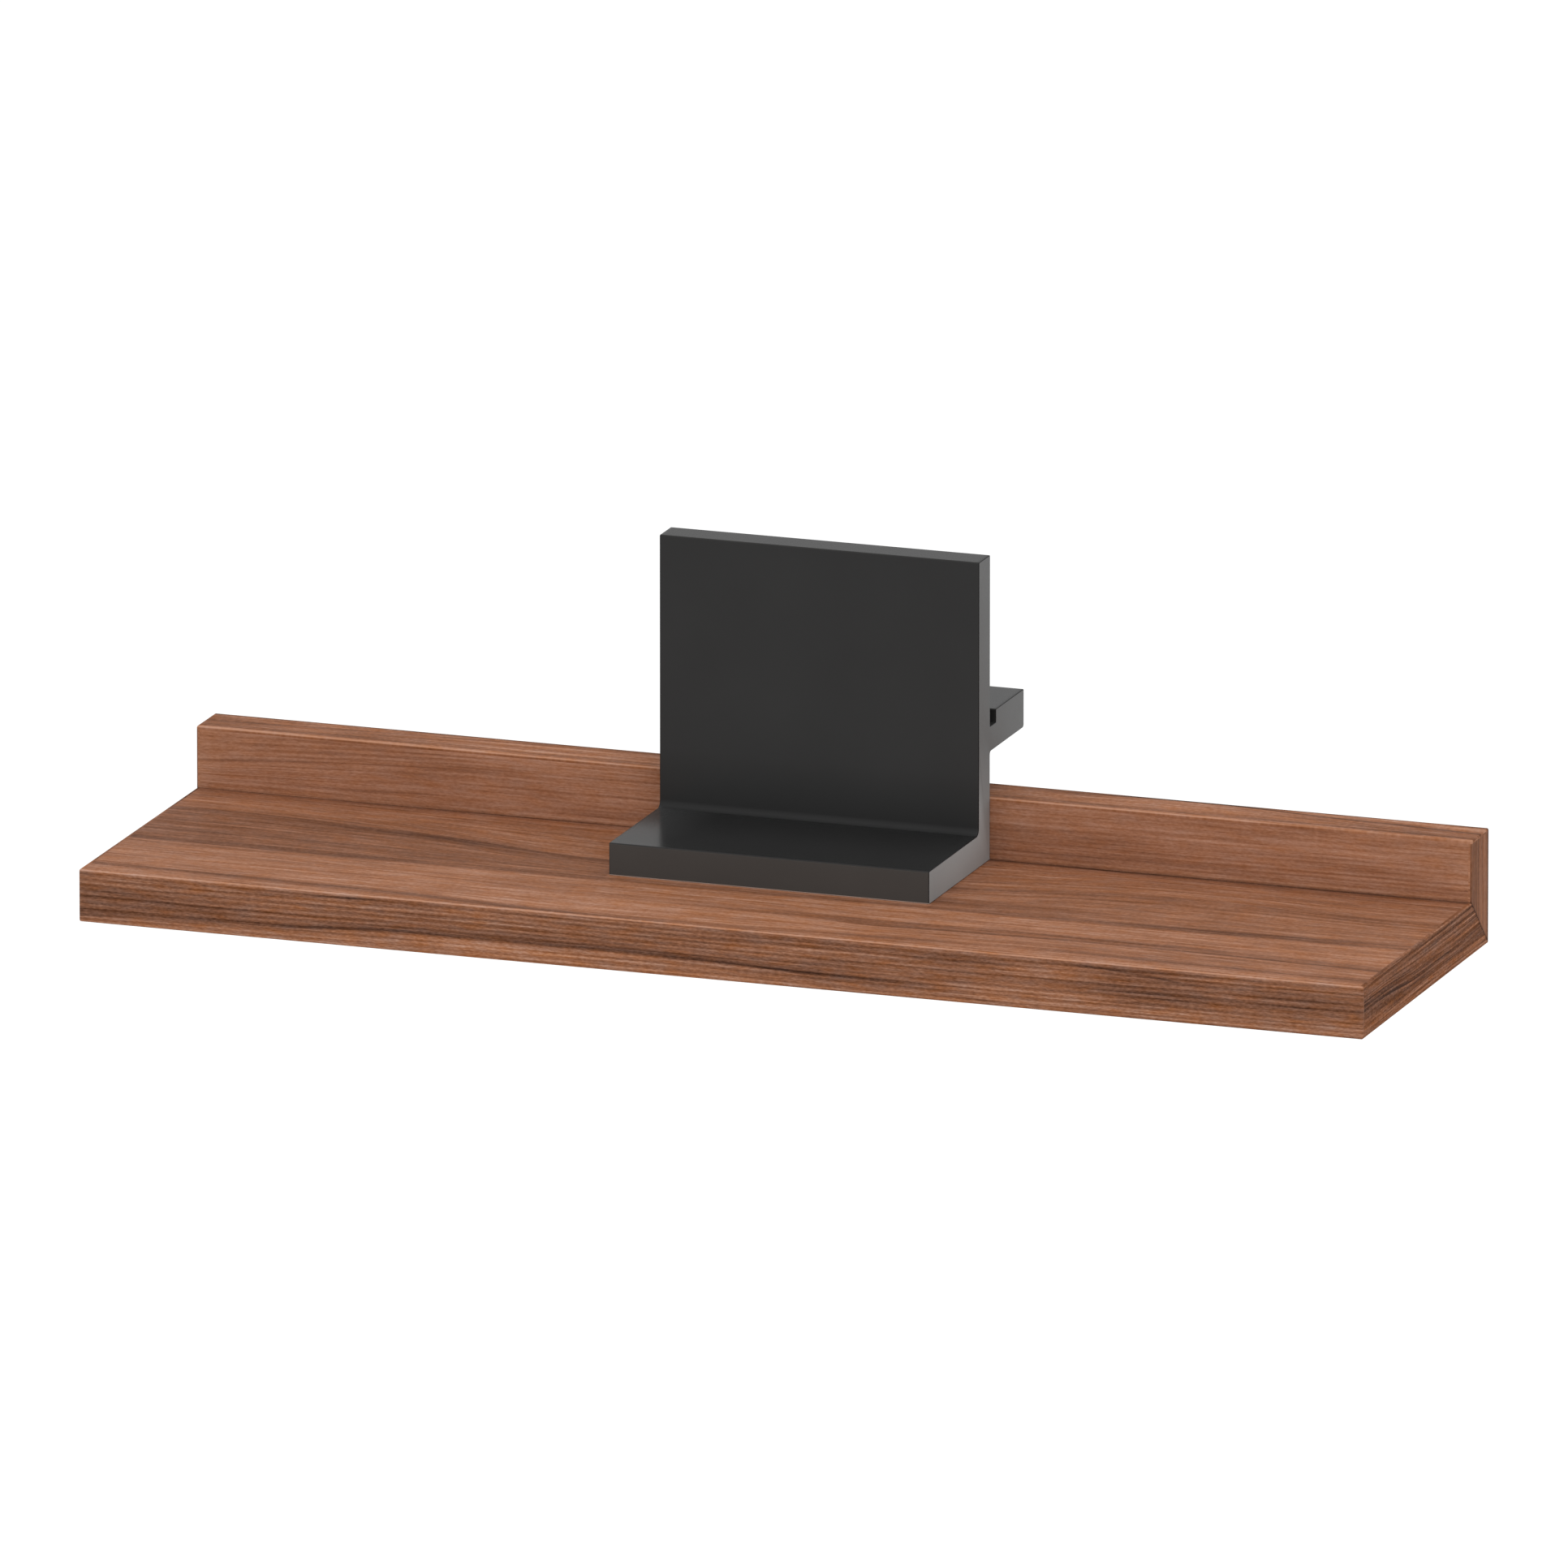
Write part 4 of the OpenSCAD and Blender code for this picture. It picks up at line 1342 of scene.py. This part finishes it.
def bracket_fields(points):
    """Colour and roughness of the coat at each point.

    The colour is built up in layers: each moves it by a share towards another one. Where a layer
    sets in gradually, two numbers tell the places between which its share changes."""
    x, y, z = points.T
    front = bracket_low[1]
    on_base = np.abs(z - BASE_TOP_Z) < NEAR
    on_front = np.abs(y - UPRIGHT_FRONT_Y) < NEAR
    on_end = np.abs(x) > bracket_high[0] - NEAR
    on_arris = (x > bracket_high[0] - SAWN_ARRIS + NEAR) & ~on_end & (z > BOARD_TOP + BRACKET_ARRIS)
    on_foot = (y > UPRIGHT_FRONT_Y - FOOT_ROUND) & (y < UPRIGHT_FRONT_Y)
    on_foot &= (z > BASE_TOP_Z) & (z < BASE_TOP_Z + FOOT_ROUND)
    in_corner = np.interp(y, IN_CORNER_Y, [0, 1])
    at_left = np.interp(x, AT_LEFT_X, [1, 0]) * np.interp(y, AT_LEFT_Y, [0, 1])
    low_down = np.interp(z, LOW_DOWN_Z, [1, 0])
    low_down = low_down * np.interp(y, [front, UPRIGHT_BACK_Y], LOW_DOWN_SHARES)
    layers = [
        # Painted sheen on the long outer edges.
        (PAINTED_SHEEN_SHARE * edge_sheen_share(points), PAINTED_SHEEN_GREY),
        # Painted shade in the corner of the base by the upright.
        (on_base * in_corner, CORNER_SHADE_GREY),
        # Painted reflection: the left end of the base top is lighter.
        (on_base * at_left, LEFT_REFLECTION_GREY),
        # Painted shade: the top of the upright is darker.
        (z > bracket_high[2] - NEAR, TOP_SHADE_GREY),
        # Painted light and shade on the front of the upright, by height.
        (on_front, np.interp(z, *np.transpose(FRONT_SHADING_GREYS))[:, None]),
        # Painted warm reflection of the wood on the front of the base.
        (np.abs(y - front) < NEAR, PAINTED_SHEEN_GREY),
        # Painted highlight along the lower front edge of the base.
        (np.hypot(y - front, z - BOARD_TOP) < HIGHLIGHT_WITHIN, LOWER_EDGE_HIGHLIGHT_GREY),
        # Painted highlight on the fillet at the foot.
        (on_foot, FOOT_HIGHLIGHT_GREY),
        # Painted shade line on the eased edges at the sawn ends.
        (on_arris, END_SHADE_LINE_GREY),
        # The sawn ends are lighter: their own finish, with painted light on it.
        (on_end, SAWN_AND_LIT_GREY),
        # Painted light low down on the sawn ends, for the light bounced off the wood.
        (on_end * low_down, SAWN_LOW_BOUNCE_GREY),
    ]
    colours = np.tile(light_of(COAT), (len(points), 1))
    for share, shown in layers:
        colours += np.asarray(share, float)[:, None] * (light_of(shown) - colours)
    return {"coat": colours, "roughness": np.where(on_end, SAWN_ROUGHNESS, SATIN)}


fields = bracket_fields(bracket_skin.points)
make_piece("bracket_extrusion", bracket_skin, black_bracket, "rail_bracket", fields)

# %% [markdown]
# ## The caps under the shelf
#
# Four brown caps close the screw recesses from below, flush with the veneer. Such a cap is turned or
# moulded: a round body, softened at its visible rim, with a slight dish. A profile turned about its
# own axis gives that. Rows of points go up the profile, and each row is one circle.

# %% Turn the caps
CAP_ROUND = 0.6
CAP_ARRIS = 0.2
CAP_EYE = 0.4
DISH = [(CAP_EYE, 0.22), (1.6, 0.2), (3.0, 0.12), (4.2, 0.03), (4.8, 0.0)]


def turned_rows(profile, centre, segments=64):
    """Rows of circles: the profile's radius r and height z at each angle w give (r cos w, r sin w, z)."""
    angle = np.arange(segments) * 2 * np.pi / segments
    radius, height = np.transpose(profile)
    return np.stack([
        centre[0] + radius[:, None] * np.cos(angle),
        centre[1] + radius[:, None] * np.sin(angle),
        height[:, None] + 0 * angle,
    ], axis=-1)


cap_top = corners_of("screw_caps")[1][2]
turn = np.linspace(0, np.pi / 2, 5)
rounded = [(CAP_RADIUS - CAP_ROUND * (1 - math.sin(w)), CAP_ROUND * (1 - math.cos(w))) for w in turn]
head = [(CAP_RADIUS, cap_top - CAP_ARRIS), (CAP_RADIUS - CAP_ARRIS, cap_top), (CAP_EYE, cap_top)]
cap_skin = Skin()
for place in SCREW_PLACES:
    cap_skin.carry(turned_rows([*DISH, *rounded, *head], place))
print("caps:", len(SCREW_PLACES))

# %% [markdown]
# ## Plain materials for the hidden parts
#
# The caps are matte plastic. The cores, the biscuits and the screws are out of sight, but the part
# can be taken apart, so they get a finish too: speckled fibreboard, pressed beech and brushed steel.
# They keep their own solids, so their patterns read Object coordinates.

# %% Mix a speckled finish


def speckled(name, dark, light, stretch, scale, roughness, metallic=0.0):
    """Finish of two colours mixed by a noise that is stretched by a factor along each axis."""
    material, tree, shader = new_material(name)
    place = place_node(tree, "ShaderNodeTexCoord", {}).outputs["Object"]
    stretched = place_node(tree, "ShaderNodeMapping", {"Vector": place, "Scale": stretch}).outputs[0]
    grain = noise(tree, stretched, scale, 4.0)
    mixed = {0: rescale(tree, grain, 0.35, 0.65, 0.0, 1.0), 6: linear(dark), 7: linear(light)}
    colour = place_node(tree, "ShaderNodeMix", mixed, data_type="RGBA").outputs[2]
    roughness = rescale(tree, grain, 0.3, 0.7, roughness - 0.05, roughness + 0.05)
    lay_finish(tree, shader, colour, roughness, grain, strength=0.4, depth=0.03)
    shader.inputs["Metallic"].default_value = metallic
    return material


cap_plastic = speckled("brown_plastic", (112, 72, 50), (126, 82, 57), (1, 1, 1), 1500, 0.7)
core_board = speckled("fibreboard", (158, 128, 92), (192, 164, 124), (1, 1, 1), 1200, 0.85)
beech = speckled("pressed_beech", (190, 154, 112), (216, 184, 142), (0.08, 1, 1), 900, 0.7)
screw_steel = speckled("brushed_steel", (170, 170, 168), (206, 206, 204), (1, 1, 12), 700, 0.3, metallic=1.0)
make_piece("recess_caps", cap_skin, cap_plastic, "screw_caps")

# %% Dress the solids that stay


def dress(node, material):
    """Give a solid of the frame a finish, in place of the one it came with."""
    mesh = frame["nodes"][node].data
    mesh.materials.clear()
    mesh.materials.append(material)
    print(f"{node}: {material.name}")


dress("board_core", core_board)
dress("upstand_core", core_board)
dress("mitre_biscuits", beech)
dress("bracket_screws", screw_steel)

# %% [markdown]
# ## The room and its light
#
# The shelf hangs on a wall rail, so the floor lies well below it. The picture was taken in even
# light with a white ground. We light it the same way: a pale sky from all sides, and one broad soft
# lamp above the front. What the camera and mirror-like surfaces see of the sky is white, while the
# light itself stays at a level at which a colour shows as it was written.

# %% Make the floor
FLOOR_Z = -0.35
FLOOR_HALF = 5.0
FLOOR_COLOUR = (0.8, 0.8, 0.8, 1)
FLOOR_LIFT = 0.4


def bare_tree(owner):
    """Empty node tree of a material or of the world."""
    owner.use_nodes = True
    owner.node_tree.nodes.clear()
    return owner.node_tree


def seen_directly(tree):
    """1 for what the camera, a mirroring surface or a clear one sees, and 0 for scattered light."""
    rays = place_node(tree, "ShaderNodeLightPath", {}).outputs
    bright = calculate(tree, "MAXIMUM", rays["Is Camera Ray"], rays["Is Glossy Ray"])
    return calculate(tree, "MAXIMUM", bright, rays["Is Transmission Ray"])


floor_mesh = bpy.data.meshes.new("floor")
signs = [(-1, -1), (1, -1), (1, 1), (-1, 1)]
floor_corners = [(x * FLOOR_HALF, y * FLOOR_HALF, FLOOR_Z) for x, y in signs]
floor_mesh.from_pydata(floor_corners, [], [(0, 1, 2, 3)])
floor = add_object("floor", floor_mesh)
floor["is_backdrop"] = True

floor_paint = bpy.data.materials.new("pale_floor")
tree = bare_tree(floor_paint)
matte = place_node(tree, "ShaderNodeBsdfDiffuse", {"Color": FLOOR_COLOUR}).outputs[0]
lift = calculate(tree, "MULTIPLY", seen_directly(tree), FLOOR_LIFT)
glow = place_node(tree, "ShaderNodeEmission", {"Strength": lift}).outputs[0]
lit = place_node(tree, "ShaderNodeAddShader", {0: matte, 1: glow}).outputs[0]
clear = place_node(tree, "ShaderNodeBsdfTransparent", {}).outputs[0]
from_below = place_node(tree, "ShaderNodeNewGeometry", {}).outputs["Backfacing"]
both = place_node(tree, "ShaderNodeMixShader", {0: from_below, 1: lit, 2: clear}).outputs[0]
place_node(tree, "ShaderNodeOutputMaterial", {"Surface": both})
floor_mesh.materials.append(floor_paint)
print("floor lies", -FLOOR_Z, "m below the shelf")

# %% Light the room
SKY_LIGHT = 0.8
LAMP_POWER = 14.0
LAMP_SIZE = 1.6
LAMP_PLACE = Vector((0.4, -1.2, 1.9))

world = bpy.data.worlds.new("room")
bpy.context.scene.world = world
tree = bare_tree(world)
level = rescale(tree, seen_directly(tree), 0.0, 1.0, SKY_LIGHT, 1.0)
sky = place_node(tree, "ShaderNodeBackground", {"Color": (1, 1, 1, 1), "Strength": level}).outputs[0]
place_node(tree, "ShaderNodeOutputWorld", {"Surface": sky})

lamp = add_object("soft_lamp", bpy.data.lights.new("soft_lamp", "AREA"))
lamp.data.shape = "SQUARE"
lamp.data.size = LAMP_SIZE
lamp.data.energy = LAMP_POWER
lamp.location = LAMP_PLACE
lamp.rotation_euler = (LAMP_PLACE - AIM).to_track_quat("Z", "Y").to_euler()
bpy.context.scene.view_settings.view_transform = "Standard"
print("sky", SKY_LIGHT, "lamp", LAMP_POWER, "W")

# %% [markdown]
# ## Check the size
#
# The dressed shelf may not be larger than its solids. We compare both boxes and print by how much
# the dressed one stands proud of them.

# %% Measure
dressed_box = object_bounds()
below = [solid - dressed for solid, dressed in zip(cad_box[0], dressed_box[0])]
above = [dressed - solid for solid, dressed in zip(cad_box[1], dressed_box[1])]
print(f"the dressed shelf stands {max(below + above) / MM:.4f} mm proud of its solids")
